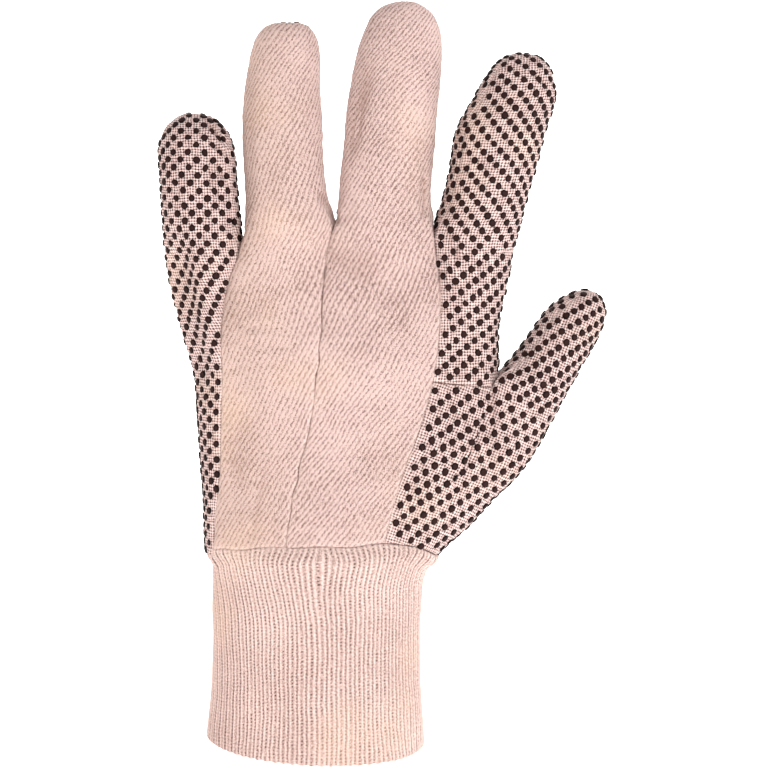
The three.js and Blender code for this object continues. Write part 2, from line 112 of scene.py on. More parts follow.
CORNER = radians(37)
THUMB_LEAN = radians(35.9)
WING_LEAN = radians(21)
RING_LEAN = radians(-5)

# Steps of the dots' lattices on the cloth, in millimetres
PALM_LATTICE = ((2.7, 2.65), (2.7, -2.65))
INDEX_BASE_LATTICE = ((2.65, 2.05), (1.4, -4.1))
INDEX_LATTICE = ((2.6, 2.6), (2.5, -2.6))
WING_LATTICE = ((2.1, 3.1), (2.6, -3.6))
THUMB_LATTICE = ((2.08, 2.56), (2.75, -3.17))

# Columns that the closing seams of the wrapped digits run up, counted from a corner of the back
THUMB_SEAM = 3
LITTLE_SEAM = 1


def columns(names, *rows):
    """A table with named columns, as one array for each name."""
    values = np.array(rows, dtype=float)
    return {name: values[:, i] for i, name in enumerate(names.split())}


# Outline and seam lines of the hand at each height, and half its depth
HAND = columns(
    "z outer ring_seam centre_seam middle_seam thumb_line thumb_edge index_edge half_depth",
    (66, -38.9, -36.4, -9.9, 23.0, 33.0, 42.8, 62.0, 24.5),
    (82, -39.4, -34.7, -8.7, 26.1, 42.0, 58.9, 63.0, 22.8),
    (97, -40.3, -33.0, -5.5, 30.5, 50.0, 73.0, 64.0, 20.8),
    (112, -41.2, -32.5, -2.1, 36.1, 56.5, 81.8, 64.2, 19.0),
    (128, -42.3, -32.1, 0.5, 40.6, 61.6, 91.0, 63.6, 17.4),
    (145, -47.0, -32.3, 2.1, 42.8, 64.0, 100.0, 64.1, 16.0),
    (160, -50.7, -30.3, 2.9, 42.9, 64.0, 100.0, 66.6, 14.8),
    (175, -52.6, -25.0, 4.8, 41.2, 64.0, 100.0, 69.2, 13.4),
    (183, -53.0, -24.4, 7.3, 41.0, 64.0, 100.0, 72.0, 12.6),
)
LOWER_LINES = ("outer", "ring_seam", "centre_seam", "middle_seam", "thumb_line", "thumb_edge")
UPPER_LINES = ("outer", "ring_seam", "centre_seam", "middle_seam", "index_edge")
CUFF_SEAM_ROW = np.array([67.5, 69.5, 71.3, 72.4, 71.0, 66.5])
THUMB_ROW = np.array([120, 123, 125, 127.5, 125.2, 114.0])
FINGER_ROW = np.array([170, 168, 178.3, 176.3, 172.0])

# Highest point of the cloth between two digits
WEBS = {
    "little_ring": (-24.6, 0.0, 173.0),
    "ring_middle": (7.2, 0.0, 183.0),
    "middle_index": (41.1, 0.0, 181.3),
    "index_thumb": (64.0, 0.5, 130.2),
}

# Cuff outline: left and right edge, half depth and how boxy its section is
CUFF = columns(
    "z left right half_depth boxiness",
    (0, -38.6, 37.9, 24.0, 2.1),
    (16, -37.0, 36.8, 23.4, 2.1),
    (34, -36.3, 36.3, 23.1, 2.1),
    (56, -36.3, 37.2, 23.4, 2.2),
    (66, -36.4, 40.6, 24.2, 2.4),
)

# Each digit: direction over its back, tip point, height of its rounded end, how square that end is, height of
# its first whole section, and its middle line and half sizes by height
UPRIGHT = np.array([1.0, 0.0, 0.0])
LEANING = np.array([0.81, 0.0, -0.586]) / np.hypot(0.81, 0.586)
DIGIT_COLUMNS = "z x y half_width half_depth"
DIGITS = {
    "little": dict(across=UPRIGHT, tip=(-42.6, 6.5, 219.6), cap=17.0, square=2.3, first=184.0, levels=columns(
        DIGIT_COLUMNS,
        (175, -38.9, 0.0, 13.6, 10.4),
        (191, -40.2, 1.0, 13.4, 10.2),
        (206, -41.3, 3.6, 13.3, 9.8),
        (219.6, -42.1, 6.5, 12.8, 9.4),
    )),
    "ring": dict(across=UPRIGHT, tip=(-9.0, 8.5, 250.8), cap=23.0, square=3.4, first=193.0, levels=columns(
        DIGIT_COLUMNS,
        (187, -9.7, 0.2, 14.4, 11.0),
        (200, -10.9, 1.2, 13.8, 10.9),
        (216, -11.5, 3.4, 13.9, 10.7),
        (230, -11.3, 6.0, 13.1, 10.2),
        (250.8, -9.7, 8.5, 12.0, 9.6),
    )),
    "middle": dict(across=UPRIGHT, tip=(31.4, 8.0, 257.9), cap=22.0, square=2.6, first=193.0, levels=columns(
        DIGIT_COLUMNS,
        (187, 23.4, 0.2, 15.9, 11.8),
        (206, 25.2, 1.4, 15.9, 11.6),
        (225, 26.9, 3.8, 15.5, 11.2),
        (241, 29.3, 6.2, 14.8, 10.6),
        (257.9, 30.7, 8.0, 14.2, 10.2),
    )),
    "index": dict(across=UPRIGHT, tip=(71.5, 7.0, 240.2), cap=25.0, square=2.4, first=191.0, levels=columns(
        DIGIT_COLUMNS,
        (183, 57.0, 0.2, 14.9, 11.4),
        (200, 61.1, 1.4, 14.9, 11.3),
        (214, 64.4, 3.4, 15.4, 11.0),
        (226, 69.4, 5.4, 14.8, 10.6),
        (240.2, 72.0, 7.0, 14.2, 10.2),
    )),
    "thumb": dict(across=LEANING, tip=(98.4, 6.5, 156.6), cap=14.0, square=2.3, first=131.0, levels=columns(
        DIGIT_COLUMNS,
        (121.6, 73.4, 0.8, 12.0, 11.6),
        (135, 82.0, 2.4, 10.9, 10.6),
        (145, 88.7, 4.4, 10.3, 9.9),
        (156.6, 98.0, 6.5, 9.4, 9.2),
    )),
}

# Depth of the cloth at the lines where the digits begin, and how far each digit's middle stands out
FINGER_LINE_DEPTHS = np.array([6.2, 7.2, 7.6, 7.6, 6.9])
FINGER_BULGES = np.array([4.0, 3.9, 4.2, 4.2])
THUMB_LINE_DEPTHS = (10.7, 7.0)
THUMB_BULGE = 3.0

# Mounds of the palm, and soft dents of the back along short lines
MOUNDS = columns(
    "x z spread_x spread_z height",
    (46, 98, 24, 26, 5.5),
    (-26, 98, 17, 32, 3.0),
    (10, 120, 20, 30, -2.5),
)
DENT_COLUMNS = "from_x from_z to_x to_z half_width depth"
DENTS = columns(
    DENT_COLUMNS,
    (61.5, 124, 60.5, 100, 4.0, 1.0),
    (-30, 96, -18, 82, 6.0, 0.9),
    (2.5, 189, 7.5, 181, 3.0, 0.9),
)

# Small folds on the back, along short lines
FOLDS = columns(
    DENT_COLUMNS,
    (20.2, 236, 12.2, 208, 2.3, 0.5),
    (-17.9, 97, -22.3, 71, 1.3, 0.5),
    (-29.1, 102.5, -25.6, 93, 1.3, 0.4),
    (14.3, 80.5, 9.2, 70, 1.2, 0.45),
    (7.5, 170, 18.5, 168, 5.5, 0.5),
    (12.0, 166, 20.0, 161, 1.4, 0.3),
    (2.4, 191, 7.4, 182.5, 1.0, 1.4),
    (37.5, 196, 37.3, 185, 1.0, 1.3),
    (16.6, 240, 12.0, 200, 2.4, 0.32),
    (-22.6, 236, -22.8, 196, 2.1, 0.32),
    (-36.5, 215.5, -31.8, 210, 0.9, 1.0),
    (-35.5, 209, -31.2, 205.5, 0.8, 1.0),
    (-34.0, 202.5, -30.8, 197, 0.9, 0.8),
    (30.3, 194, 30.6, 178, 1.2, 0.3),
    (-28, 147, -8, 145, 1.6, 0.22),
    (-26, 141, -6, 139, 1.5, 0.22),
    (-24, 134.5, -8, 133, 1.5, 0.2),
    (61.3, 126, 61.0, 104, 1.2, 0.5),
    (75.5, 233, 79.5, 229, 0.9, 0.6),
    (-37.5, 205, -33.5, 196, 1.3, 0.5),
    (-36.5, 196, -31.5, 190, 1.3, 0.5),
    (44.5, 178, 50.0, 170, 1.6, 0.45),
    (-36.0, 71.5, -33.5, 79, 1.4, 0.4),
    (-5.0, 70, -3.5, 78, 1.3, 0.3),
    (27.0, 71, 30.5, 80, 1.5, 0.35),
)


# Small helpers

def mix(a, b, share):
    return a + (b - a) * share


def smooth(low, high, value):
    """Eases from 0 at low to 1 at high: 3s^2 - 2s^3 of the share s between them."""
    share = np.clip((value - low) / (high - low), 0.0, 1.0)
    return share * share * (3 - 2 * share)


def bell(value, width):
    return np.exp(-(value / width) ** 2)


def unit(vectors):
    length = np.linalg.norm(vectors, axis=-1, keepdims=True)
    return vectors / np.maximum(length, 1e-12)


def run_length(line):
    """How far along a line of points each of them lies."""
    return np.concatenate([[0.0], np.cumsum(np.linalg.norm(np.diff(line, axis=0), axis=1))])


def face_corners(table):
    """The four corners of each face between the rows and columns of a table, in order round it."""
    picked = (table[:-1, :-1], table[:-1, 1:], table[1:, 1:], table[1:, :-1])
    return np.stack([part.reshape(-1, *table.shape[2:]) for part in picked], axis=1)


def lookup(table, column, z):
    """Smooth curve through a table's column: a cubic between each two rows whose end slopes are the slopes
    of the chords to the rows beyond, and a straight line past the first and the last row."""
    at = table["z"]
    values = table[column]
    z = np.asarray(z, dtype=float)
    last = len(at) - 1
    i = np.clip(np.searchsorted(at, z) - 1, 0, last - 1)
    before = np.maximum(i - 1, 0)
    after = np.minimum(i + 2, last)
    start_slope = (values[i + 1] - values[before]) / (at[i + 1] - at[before])
    end_slope = (values[after] - values[i]) / (at[after] - at[i])
    span = at[i + 1] - at[i]
    t = (z - at[i]) / span
    s = np.clip(t, 0, 1)
    curve = mix(values[i], values[i + 1], s * s * (3 - 2 * s))
    curve = curve + span * (start_slope * s * (1 - s) ** 2 - end_slope * s * s * (1 - s))
    return curve + span * (start_slope * np.minimum(t, 0) + end_slope * np.maximum(t - 1, 0))


def ripple(points, wavelength, seed):
    """Smooth noise from -1 to 1: the mean of six sine waves of about this wavelength in directions and
    phases drawn from a seeded generator."""
    chance = np.random.default_rng(seed)
    waves = unit(chance.normal(size=(6, points.shape[-1]))) * chance.uniform(0.7, 1.4, (6, 1))
    phases = chance.uniform(0, 2 * pi, 6)
    return np.sin(points @ waves.T * (2 * pi / wavelength) + phases).mean(axis=-1) * 1.6


# Columns across a digit: dense near the lines between digits, where the seams are

def stepped(count, crowding):
    """Shares from 0 to 1, crowded at both ends by a sine."""
    share = np.arange(count + 1) / count
    return share - crowding / (2 * pi) * np.sin(2 * pi * share)


BACK_SHARES = stepped(BACK_STEPS, 0.5)
SIDE_SHARES = stepped(SIDE_STEPS, 0.0)
BACK_ANGLES = pi - CORNER - BACK_SHARES * (pi - 2 * CORNER)
SIDE_ANGLES = CORNER * (1 - 2 * SIDE_SHARES)
ACROSS = (1 + np.cos(BACK_ANGLES) / cos(CORNER)) / 2
STAND_OUT = (np.sin(BACK_ANGLES) - sin(CORNER)) / (1 - sin(CORNER))


def pillow_depth(x, left, right, half_depth, boxiness):
    """Half depth of a boxy oval: half_depth (1 - r^b)^(1/b), r the share of the way from middle to edge."""
    reach = np.minimum(0.999, np.abs((2 * x - left - right) / (right - left)))
    return half_depth * (1 - reach ** boxiness) ** (1 / boxiness)


def mound_height(x, z):
    """Sum of bell-shaped mounds of the palm."""
    height = 0.0
    for i in range(len(MOUNDS["x"])):
        across = (x - MOUNDS["x"][i]) / MOUNDS["spread_x"][i]
        along = (z - MOUNDS["z"][i]) / MOUNDS["spread_z"][i]
        height = height + MOUNDS["height"][i] * np.exp(-across ** 2 - along ** 2)
    return height


def dent_depth(table, x, z):
    """Sum of soft grooves: a bell across each dent's line, flat along it and falling off past its ends."""
    depth = 0.0
    for fx, fz, tx, tz, half_width, deep in zip(*(table[name] for name in DENT_COLUMNS.split())):
        run = np.hypot(tx - fx, tz - fz)
        along = ((x - fx) * (tx - fx) + (z - fz) * (tz - fz)) / run
        beside = ((x - fx) * (tz - fz) - (z - fz) * (tx - fx)) / run / half_width
        past = (along - run / 2) / (run / 2 + half_width)
        depth = depth + deep * np.exp(-beside ** 2 - past ** 4)
    return depth


def seam_wobble(z):
    """Small sideways wander of a seam: a sine of 18 mm whose phase itself wanders."""
    return 0.32 * np.sin(z / 2.9 + 2.1 * np.sin(z / 7.3))


def outer_step(x, z):
    """Depth by which the canvas beside the little finger's base steps back, past a slanting fold line."""
    start, end = np.array(OUTER_FOLD)
    run = unit(end - start)
    past = (x - start[0]) * run[1] - (z - start[1]) * run[0]
    return OUTER_STEP * smooth(-3.5, 2.5, past) * smooth(116, 136, z) * smooth(180, 166, z)


def side_arc(back_point, palm_point, edge):
    """Arc from a back line round an edge point to a palm line. Its points lie between the edge and a line
    by (1 - cos a)/(1 - cos c), and in depth by sin a / sin c, for angles a from c to -c."""
    turn = (np.sin(SIDE_ANGLES) / sin(CORNER))[:, None]
    bow = ((1 - np.cos(SIDE_ANGLES)) / (1 - cos(CORNER)))[:, None]
    near = np.where(turn > 0, back_point[..., None, :], palm_point[..., None, :])
    edge = np.broadcast_to(edge, back_point.shape)[..., None, :]
    arc = mix(edge, near, bow)
    arc[..., 1] = mix(edge[..., 1], near[..., 1], np.abs(turn[:, 0]))
    return arc


def hand_rows(lines_x, lines_z, edges_x, edges_z, depth_at):
    """Closed loops across the hand: back from left to right, right side, palm, left side. Between two lines
    x and z go by the share across; depth_at gives the depth of the cloth. Sizes are (row, column)."""
    digits = lines_x.shape[1] - 1
    xs, zs, depths = [], [], []
    for digit in range(digits):
        share = ACROSS[(1 if digit else 0):]
        x = mix(lines_x[:, digit, None], lines_x[:, digit + 1, None], share)
        z = mix(lines_z[:, digit, None], lines_z[:, digit + 1, None], share)
        stand = STAND_OUT[(1 if digit else 0):]
        xs.append(x)
        zs.append(z)
        depths.append(depth_at(x, z, digit, share, stand))
    x = np.concatenate(xs, axis=1)
    z = np.concatenate(zs, axis=1)
    depth = np.concatenate(depths, axis=1)
    fullness = smooth(175, 150, z)
    back_y = dent_depth(DENTS, x, z) - depth * mix(1, BACK_FLATNESS, fullness) + outer_step(x, z)
    palm_y = depth * mix(1, PALM_FULLNESS, fullness) + mound_height(x, z) * np.minimum(1, depth / 18)
    back = np.stack([x, back_y, z], axis=-1)
    palm = np.stack([x, palm_y, z], axis=-1)[:, ::-1]
    left_edge = np.stack([edges_x[0], (back[:, 0, 1] + palm[:, -1, 1]) / 2, edges_z[0]], axis=-1)
    right_edge = np.stack([edges_x[1], (back[:, -1, 1] + palm[:, 0, 1]) / 2, edges_z[1]], axis=-1)
    right = side_arc(back[:, -1], palm[:, 0], right_edge)
    left = side_arc(back[:, 0], palm[:, -1], left_edge)[:, ::-1]
    return np.concatenate([back, right[:, 1:-1], palm, left[:, 1:-1]], axis=1)


def lower_hand():
    """From the cuff seam to the row where the thumb begins. The depth eases from one oval over the whole
    width to an oval over the hand beside a second one over the thumb."""
    share = stepped(LOWER_ROWS, 0.5)
    fork = smooth(0.25, 1, share)[:, None]
    z = mix(CUFF_SEAM_ROW, THUMB_ROW, share[:, None])
    x = np.stack([lookup(HAND, name, z[:, i]) for i, name in enumerate(LOWER_LINES)], axis=1)
    edges_x = (x[:, 0].copy(), x[:, 5].copy())
    edges_z = (z[:, 0], z[:, 5])
    x[:, 0] += mix(2.6, 4.4, fork[:, 0])
    x[:, 2] += seam_wobble(z[:, 2])
    x[:, 5] -= mix(1.4, 2.4, fork[:, 0])

    def depth_at(px, pz, digit, across, stand):
        half_depth = lookup(HAND, "half_depth", pz)
        whole = pillow_depth(px, edges_x[0][:, None], edges_x[1][:, None], half_depth, 2.4)
        hand_edge = lookup(HAND, "index_edge", pz) + 3
        hand = pillow_depth(np.minimum(px, 66), edges_x[0][:, None], hand_edge, half_depth, 2.6)
        if digit == 4:
            hand = mix(THUMB_LINE_DEPTHS[0], THUMB_LINE_DEPTHS[1], across) + THUMB_BULGE * stand
        return mix(whole, hand, fork)

    rows = hand_rows(x, z, edges_x, edges_z, depth_at)
    rows[..., 2] += 0.5 * ripple(rows[0, :, :2], 12, 21) * smooth(0.1, 0, share)[:, None]
    return rows


def upper_hand(first_row):
    """From the thumb's row, given as first_row, to the row where the fingers begin. The depth eases from one
    oval to a row of four bulges."""
    share = np.linspace(0, 1, UPPER_ROWS + 1)
    fork = smooth(0.1, 1, share)[:, None]
    z = mix(THUMB_ROW[:5], FINGER_ROW, share[:, None])
    x = np.stack([lookup(HAND, name, z[:, i]) for i, name in enumerate(UPPER_LINES)], axis=1)
    edges_x = (x[:, 0].copy(), x[:, 4].copy())
    edges_z = (z[:, 0], z[:, 4] + WEB_DIP * (1 - share))
    x[:, 0] += mix(4.4, 2.7, fork[:, 0])
    x[:, 2] += seam_wobble(z[:, 2]) * (1 - fork[:, 0])
    x[:, 4] -= mix(3.2, 3.0, fork[:, 0])

    def depth_at(px, pz, digit, across, stand):
        half_depth = lookup(HAND, "half_depth", pz)
        right = (edges_x[1] + 3 * (1 - share))[:, None]
        hand = pillow_depth(px, edges_x[0][:, None], right, half_depth, 2.6)
        lines = mix(FINGER_LINE_DEPTHS[digit], FINGER_LINE_DEPTHS[digit + 1], across)
        return mix(hand, lines + FINGER_BULGES[digit] * stand, fork)

    rows = hand_rows(x, z, edges_x, edges_z, depth_at)
    rows[0] = first_row
    return rows


def digit_sections(digit, z, scale):
    """Ovals of a digit at heights z of its middle line, shrunk by scale: centre + across w cos a + depth
    h sin a, with the angle a going over the back, round the right side, over the palm and the left side."""
    levels = digit["levels"]
    z = np.atleast_1d(z)
    angles = np.concatenate([
        BACK_ANGLES, SIDE_ANGLES[1:-1], -BACK_ANGLES[::-1], (pi + SIDE_ANGLES)[1:-1],
    ])
    centre = np.stack([lookup(levels, "x", z), lookup(levels, "y", z), z], axis=-1)[:, None, :]
    width = (lookup(levels, "half_width", z) * scale)[:, None, None]
    depth = (lookup(levels, "half_depth", z) * scale)[:, None, None]
    over = np.cos(angles)[None, :, None] * digit["across"]
    into = np.sin(angles)[None, :, None] * np.array([0.0, -1.0, 0.0])
    return centre + width * over + depth * into


def digit_rows(digit, base, below, free):
    """Loops of one digit. From its base loop to its first whole section each column is a cubic that starts
    in the hand's own direction where it is free and towards the section at a web; above, sections follow the
    middle line, and the end closes as a superellipse."""
    first = digit_sections(digit, digit["first"], 1.0)[0]
    onward = digit_sections(digit, digit["first"] + 1.0, 1.0)[0]
    t = (np.arange(WEB_ROWS) / WEB_ROWS)[:, None, None]
    span = np.linalg.norm(first - base, axis=1, keepdims=True)
    towards = unit(first - base)
    rising = np.where(free[:, None], unit(base - below), towards)
    ease = t * t * (3 - 2 * t)
    web = base + (first - base) * ease
    web = web + span * rising * t * (1 - t) ** 2 - span * unit(onward - first) * t * t * (1 - t)
    top = digit["tip"][2]
    cap_start = top - digit["cap"]
    count = int(round((cap_start - digit["first"]) / BODY_STEP))
    body = digit_sections(digit, np.linspace(digit["first"], cap_start, count, endpoint=False), 1.0)
    angle = np.arange(TIP_ROWS) / TIP_ROWS * pi / 2
    power = 2 / digit["square"]
    cap = digit_sections(digit, cap_start + digit["cap"] * np.sin(angle) ** power,
                         (np.cos(angle) ** power))
    tip = np.broadcast_to(np.array(digit["tip"]), (1,) + base.shape)
    return np.concatenate([web, body, cap, tip], axis=0)


# The whole outer surface as closed-loop grids, one for each stretch

def build_surface():
    """Grids of the lower hand, the upper hand and the five digits. Neighbouring grids share their edge
    points exactly."""
    n, k = BACK_STEPS, SIDE_STEPS
    lower = lower_hand()
    top = lower[-1]
    thumb_web = side_arc(top[4 * n], top[5 * n + k + n], np.array(WEBS["index_thumb"]))
    first_row = np.concatenate([top[:4 * n + 1], thumb_web[1:-1], top[5 * n + k + n:]])
    upper = upper_hand(first_row)
    grids = {"lower": lower, "upper": upper}
    webs = {}
    last = upper[-1]
    for number, name in enumerate(("little_ring", "ring_middle", "middle_index")):
        right = (number + 1) * n
        palm = 4 * n + k + (3 - number) * n
        webs[number] = side_arc(last[right], last[palm], np.array(WEBS[name]))
    for number, name in enumerate(DIGITS):
        is_thumb = name == "thumb"
        row = top if is_thumb else last
        under = lower[-2] if is_thumb else upper[-2]
        count = 5 if is_thumb else 4
        start = number * n
        palm_start = count * n + k + (count - 1 - number) * n
        back = row[start:start + n + 1]
        palm = row[palm_start:palm_start + n + 1]
        low_back = under[start:start + n + 1]
        low_palm = under[palm_start:palm_start + n + 1]
        open_right = number >= 3
        open_left = number == 0
        right_range = slice(count * n + 1, count * n + k)
        right = row[right_range] if open_right else webs[number][1:-1]
        low_right = under[right_range] if open_right else right - 1.0
        left_range = slice(len(row) - k + 1, len(row))
        if is_thumb:
            left = thumb_web[::-1][1:-1]
        elif open_left:
            left = row[left_range]
        else:
            left = webs[number - 1][::-1][1:-1]
        low_left = under[left_range] if open_left else left - 1.0
        base = np.concatenate([back, right, palm, left])
        below = np.concatenate([low_back, low_right, low_palm, low_left])
        free = np.ones(len(base), dtype=bool)
        free[n + 1:n + k] = open_right
        free[2 * n + k + 1:] = open_left
        grids[name] = digit_rows(DIGITS[name], base, below, free)
    return grids


# Cloth coordinates: how far across and along the cloth each point lies, in millimetres

def chart(rows, first, last, middle, along):
    """Lays the cloth of columns first to last flat. Across is the length of each row at right angles to the
    direction along, from the middle column; up is the length of each column."""
    picked = rows[:, np.arange(first, last + 1) % rows.shape[1]]
    step = np.diff(picked, axis=1)
    straight = (step * along).sum(axis=-1)
    width = np.sqrt(np.maximum((step ** 2).sum(axis=-1) - straight ** 2, 0))
    across = np.concatenate([np.zeros((len(rows), 1)), np.cumsum(width, axis=1)], axis=1)
    across = across - across[:, middle - first, None]
    rise = np.linalg.norm(np.diff(picked, axis=0), axis=-1)
    up = np.concatenate([np.zeros((1, picked.shape[1])), np.cumsum(rise, axis=0)])
    return np.stack([across, up], axis=-1)


def turned(flat, lean):
    """Cloth coordinates turned so that the grain leans clockwise by this angle."""
    u, v = flat[..., 0], flat[..., 1]
    return np.stack([u * cos(lean) - v * sin(lean), u * sin(lean) + v * cos(lean)], axis=-1)


def hand_chart(rows, first, last, middle):
    """Cloth of the hand: up by height, and across from the middle column, whose own x counts as its place."""
    flat = chart(rows, first, last, middle, np.array([0.0, 0.0, 1.0]))
    centre = rows[:, middle % rows.shape[1]]
    flat[..., 0] += (centre[:, 0] * -np.sign(centre[:, 1]))[:, None]
    flat[..., 1] = rows[:, np.arange(first, last + 1) % rows.shape[1], 2]
    return flat


def rolled(flat, rows, first, corner, end):
    """Lays the cloth from column corner to column end, which rolls over a slanting edge, anew. Each step of a
    row goes along the corner column's direction and squarely off it by as much as it does on the hand."""
    order = np.linspace(corner, end, abs(end - corner) + 1).astype(int)
    step = np.diff(rows[:, order], axis=1)
    ridge = unit(np.gradient(rows[:, corner], axis=0))[:, None]
    slope = unit(np.gradient(flat[:, corner - first], axis=0))[:, None]
    square_to = np.stack([slope[..., 1], -slope[..., 0]], axis=-1)
    along = (step * ridge).sum(axis=-1)
    beside = np.sqrt(np.maximum((step ** 2).sum(axis=-1) - along ** 2, 0)) * np.sign(end - corner)
    moved = np.cumsum(along, axis=1)[..., None] * slope + np.cumsum(beside, axis=1)[..., None] * square_to
    flat[:, order[1:] - first] = flat[:, corner - first, None] + moved
    return flat


def digit_chart(name, first, last, middle, twin, start, lean=0.0):
    """Cloth of one digit, carried on from the hand's cloth. start gives the cloth coordinates of the base
    loop's columns that the hand shares, by column; the others take the shift of the nearest one and how far
    ahead of it they begin. Past the rounded end's start the middle column keeps its place across, so that
    each face of the end lies square. twin is the middle column of the whole wrap, from which the places
    across are measured below that."""
    rows = grids[name]
    digit = DIGITS[name]
    along = np.cross(digit["across"], [0.0, 1.0, 0.0]) if name == "thumb" else axis_of(digit)
    loop = rows.shape[1]
    low, high = min(first, twin), max(last, twin)
    whole = chart(rows, low, high, twin, along)
    flat = whole[:, first - low:last - low + 1].copy()
    cap_row = len(rows) - 1 - TIP_ROWS
    place = flat[:, middle - first, 0].copy()
    frozen = np.where(np.arange(len(rows)) > cap_row, place[cap_row], place)
    flat[..., 0] += (frozen - place)[:, None]
    flat = turned(flat, lean)
    span = np.arange(first, last + 1)
    known = np.array([column % loop in start for column in span])
    nearest = span[known][np.argmin(np.abs(span[:, None] - span[known][None]), axis=1)]
    shift = np.array([start[column % loop] - flat[0, column - first] for column in nearest])
    ahead = (rows[0, span % loop] - rows[0, nearest % loop]) @ along
    return flat + shift + turned(np.stack([0 * ahead, ahead], axis=-1), lean)


def axis_of(digit):
    """Unit direction from the lowest to the highest row of a digit's table."""
    levels = digit["levels"]
    return unit(np.array([levels[name][-1] - levels[name][0] for name in ("x", "y", "z")]))


def cloth_charts():
    """Every patch of cloth: its grid, its first column, its piece, and its cloth coordinates."""
    n, k, wrap = BACK_STEPS, SIDE_STEPS, DRILL_STEPS
    half = k // 2
    upper = grids["upper"]
    patches = []

    def hand_patch(grid, piece, first, last, middle, lean=0.0, roll=None):
        flat = hand_chart(grids[grid], first, last, middle)
        if roll:
            flat = rolled(flat, grids[grid], first, *roll)
        flat = turned(flat, lean)
        patches.append((grid, piece, first, flat))
        return {first + i: flat[-1, i] for i in range(last - first + 1)}

    hand_patch("lower", "back_ring", n, 2 * n, n + n // 2, RING_LEAN)
    hand_patch("lower", "back_middle", 2 * n, 3 * n, 2 * n + n // 2)
    wing = hand_patch("lower", "thumb", 3 * n, 5 * n + half, 4 * n + n // 2, WING_LEAN,
                      (5 * n, 5 * n + half))
    wing_palm = hand_patch("lower", "thumb", 5 * n + half, 6 * n + k, 5 * n + k + n // 2, WING_LEAN,
                           (5 * n + k, 5 * n + half))
    hand_patch("lower", "palm", 6 * n + k, 11 * n + 2 * k, 8 * n + k)
    ring = hand_patch("upper", "back_ring", n, 2 * n, n + n // 2, RING_LEAN)
    middle = hand_patch("upper", "back_middle", 2 * n, 3 * n, 2 * n + n // 2)
    front = hand_patch("upper", "palm", 3 * n, 4 * n + half, 3 * n)
    palm = hand_patch("upper", "palm", 4 * n + half, 9 * n + 2 * k, 6 * n + k)
    size = upper.shape[1]
    palm = {column % size: value for column, value in palm.items()}
    for number, name in enumerate(DIGITS):
        loop = 2 * n + 2 * k
        if name == "thumb":
            start = {column: wing[4 * n + column] for column in range(n + half + 1)}
            patches.append((name, "thumb", THUMB_SEAM, digit_chart(
                name, THUMB_SEAM, n + half, n // 2, n // 2, start, WING_LEAN - THUMB_LEAN)))
            start = {column: wing_palm[4 * n + column] for column in range(n + half, 2 * n + k + 1)}
            patches.append((name, "thumb", n + half, digit_chart(
                name, n + half, loop + THUMB_SEAM, n + k + n // 2, n + k + n // 2, start,
                WING_LEAN + THUMB_LEAN)))
            continue
        palm_from = 4 * n + k + (3 - number) * n
        start = {n + k + i: palm[palm_from + i] for i in range(n + 1)}
        palm_mid = n + k + n // 2
        if name in ("ring", "middle"):
            drill = ring if name == "ring" else middle
            back = {i: drill[number * n + i] for i in range(n + 1)}
            piece = "back_" + name
            patches.append((name, piece, loop - wrap, digit_chart(
                name, loop - wrap, loop + n + wrap, loop + n // 2, loop + n // 2, back,
                RING_LEAN if name == "ring" else 0.0)))
            patches.append((name, "palm", n + wrap, digit_chart(
                name, n + wrap, loop - wrap, palm_mid, palm_mid, start)))
        elif name == "index":
            near = {i: front[3 * n + i] for i in range(n + half + 1)}
            patches.append((name, "palm", 0, digit_chart(name, 0, n + half, n // 2, n // 2, near)))
            start.update({i: palm[3 * n + i] for i in range(n + half, n + k)})
            patches.append((name, "palm", n + half, digit_chart(
                name, n + half, loop, palm_mid, palm_mid, start)))
        else:
            start.update({i: palm[i] for i in range(n + 1)})
            start.update({loop - k + i: palm[size - k + i] for i in range(1, k)})
            patches.append((name, "palm", loop - half, digit_chart(
                name, loop - half, loop + n + LITTLE_SEAM, loop + n // 2, palm_mid, start)))
            start = {i: value for i, value in start.items() if i > n}
            patches.append((name, "palm", n + LITTLE_SEAM, digit_chart(
                name, n + LITTLE_SEAM, loop - half, palm_mid, palm_mid, start)))
    return patches


# Seams: where each runs on the grids, and how deep it draws the cloth in

def seam_paths():
    """Seam lines as rows of points, each with its grids and its depth."""
    n, k, wrap = BACK_STEPS, SIDE_STEPS, DRILL_STEPS
    loop = 2 * n + 2 * k
    lower, upper, thumb = grids["lower"], grids["upper"], grids["thumb"]
    little, index = grids["little"], grids["index"]
    hand = ("lower", "upper")
    web = np.concatenate([thumb[0, 2 * n + k:], thumb[0, :1]])
    paths = [
        (("lower",), 0.5, np.concatenate([lower[0], lower[0, :1]])),
        (hand, 0.5, np.concatenate([lower[:, n], upper[1:, n]])),
        (hand, 0.85, np.concatenate([lower[:, 2 * n], upper[1:, 2 * n]])),
        (hand, 0.5, np.concatenate([lower[:, 3 * n], upper[1:, 3 * n]])),
        (("little",), 0.5, np.concatenate([little[:1, n], little[3:, n + LITTLE_SEAM]])),
        (("index",), 0.5, index[:, 0]),
        (("thumb",), 0.5, np.concatenate([thumb[:1, 0], thumb[4:, THUMB_SEAM]])),
        (("lower", "upper", "thumb"), 1.0, lower[-1, 3 * n:4 * n + 1]),
        (("lower", "upper", "thumb"), 0.8, web[::-1]),
        (("lower",), 0.9, lower[:, 6 * n + k]),
    ]
    for name in ("ring", "middle"):
        rows = grids[name]
        paths += [
            ((name,), 0.9, np.concatenate([rows[0, loop - wrap:], rows[0, :1]])[::-1]),
            ((name,), 0.75, rows[:, loop - wrap]),
            ((name,), 0.9, rows[0, n:n + wrap + 1]),
            ((name,), 0.75, rows[:, n + wrap]),
        ]
    return paths


